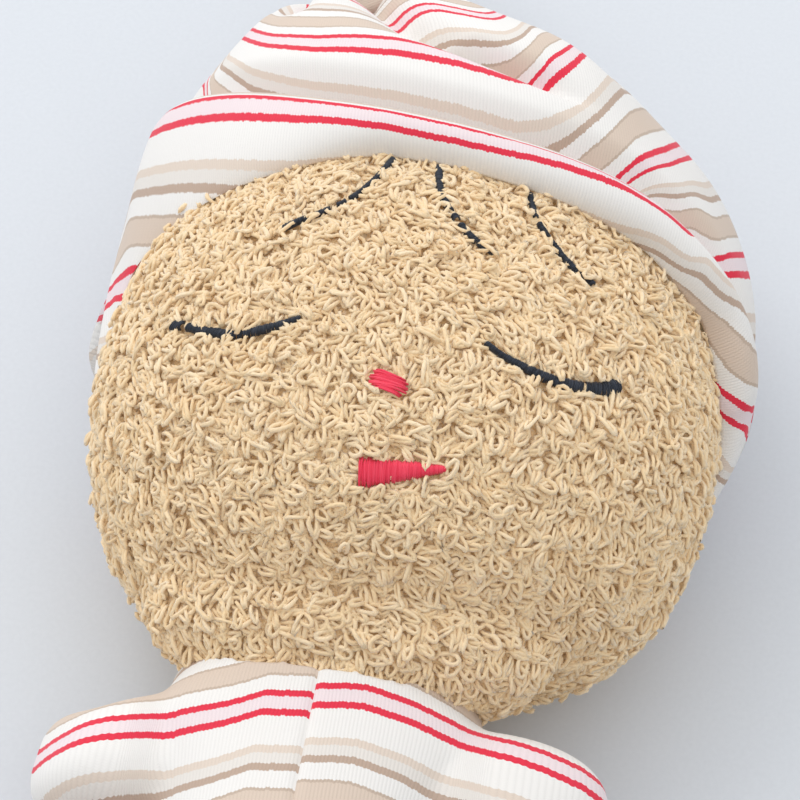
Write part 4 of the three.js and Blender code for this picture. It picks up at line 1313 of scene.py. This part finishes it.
def core_section(y):
    round_end = swell((y - 162) / 6) * swell((190 - y) / 6)
    return dict(x=KNOT[0], z=KNOT[2], half=9.0 * round_end, up=7.5 * round_end, down=7.5 * round_end)


knot_wraps = [wrap("knot_wrap_1", -3.6, (8.0, 6.0), 0.2, 0.22, 5.6, 4.8, 8, 1.2),
              wrap("knot_wrap_2", 3.8, (7.4, 5.6), -0.25, -0.3, 5.4, 4.6, 30, -1.4)]
core = stuffed_form("knot_core", core_section, 162.0, 190.0, 48, 24)
core.data.uv_layers[0].name = "knit"
core.data.materials.append(cap_jersey)
smooth_shading(core)

# %% The free end: out to the flare, then back in at the hem
TIP_COLUMNS, OUT_ROWS, IN_ROWS = 120, 40, 12
OUT_LENGTH, IN_LENGTH = 31.5, 9.0
turn = 2 * math.pi * np.arange(TIP_COLUMNS) / TIP_COLUMNS
row = np.arange(OUT_ROWS + IN_ROWS)[:, None]
going_out = np.minimum(row, OUT_ROWS) / OUT_ROWS
back_in = np.maximum(0, row - OUT_ROWS) / (IN_ROWS - 1)
y = -3.5 + OUT_LENGTH * going_out - IN_LENGTH * ease(back_in) - 0.5 * (back_in > 0)
flare = ease(y / 27)
closing = 1 - 0.3 * np.minimum(1, back_in * 3) - 0.65 * np.maximum(0, back_in - 0.3)
pleats = (0.12 + 0.2 * flare) * np.sin(6 * turn + 0.8 * np.sin(2 * turn)) * (1 - 0.6 * back_in)
ripple = (1 + pleats + 0.05 * np.sin(11 * turn + 1.3)) * closing
tip_grid = np.stack([mix(4.9, 11.2, flare) * ripple * np.cos(turn) * 0.93, y + 0.8 * flare * np.sin(3 * turn),
                     mix(4.7, 4.3, flare) * ripple * np.sin(turn)], -1)
tip_along = 12 - OUT_LENGTH * going_out - IN_LENGTH * back_in + 3 * STRIPE_REPEAT
tip_cloth = jersey_grid("tip_cloth", tip_grid, 1.2, np.broadcast_to(tip_along, tip_grid.shape[:2]))
hang(tip_cloth, 1, (-14.0, 188.3, 36.0), -14)
start_editing(tip_cloth)
bpy.ops.mesh.select_all(action="DESELECT")
bpy.ops.mesh.select_non_manifold()
bpy.ops.mesh.edge_face_add()
stop_editing()
face_outward(tip_cloth)
smooth_shading(tip_cloth)

# %% [markdown]
# ## What each piece rides on and stands for
# The head carries its cloth, loops, embroidery, cap and knot, and the free end of the cap has a body of its
# own. Each sleeve and hand rides on its arm, and the sleeve's root turns inside the trunk's shoulder. Each
# foot rides on its leg.

# %% Rides and replaced solids
for piece in (head_cloth, *head_loops, *embroidery, cap, *knot_wraps, core):
    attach(piece, "head")
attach(tip_cloth, "cap_end")
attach(trunk_cloth, "trunk")
for side in ("left", "right"):
    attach(pads[side + "_hand"], side + "_arm")
    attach(pads[side + "_foot"], side + "_leg_and_foot")
    for piece in pad_loops[side + "_hand"]:
        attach(piece, side + "_arm")
    for piece in pad_loops[side + "_foot"]:
        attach(piece, side + "_leg_and_foot")
    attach(sleeves[side], side + "_arm")
    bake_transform(legs[side])
    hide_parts(side + "_sleeve", side + "_arm_filling")
    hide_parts(side + "_leg", side + "_leg_filling")
    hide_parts(side + "_hand")
    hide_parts(side + "_foot")
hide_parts("face_panel", "head_back_panel", "head_filling")
for piece, node in zip(embroidery, ("right_eye", "left_eye", "right_hair_strand", "middle_hair_strand",
                                    "left_hair_strand", "nose", "mouth")):
    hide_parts(node)
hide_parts("cap_crown", "cap_brim")
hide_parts("cap_knot")
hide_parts("cap_tip")
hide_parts("left_front_panel", "right_front_panel", "left_back_panel", "right_back_panel",
            "trunk_filling")
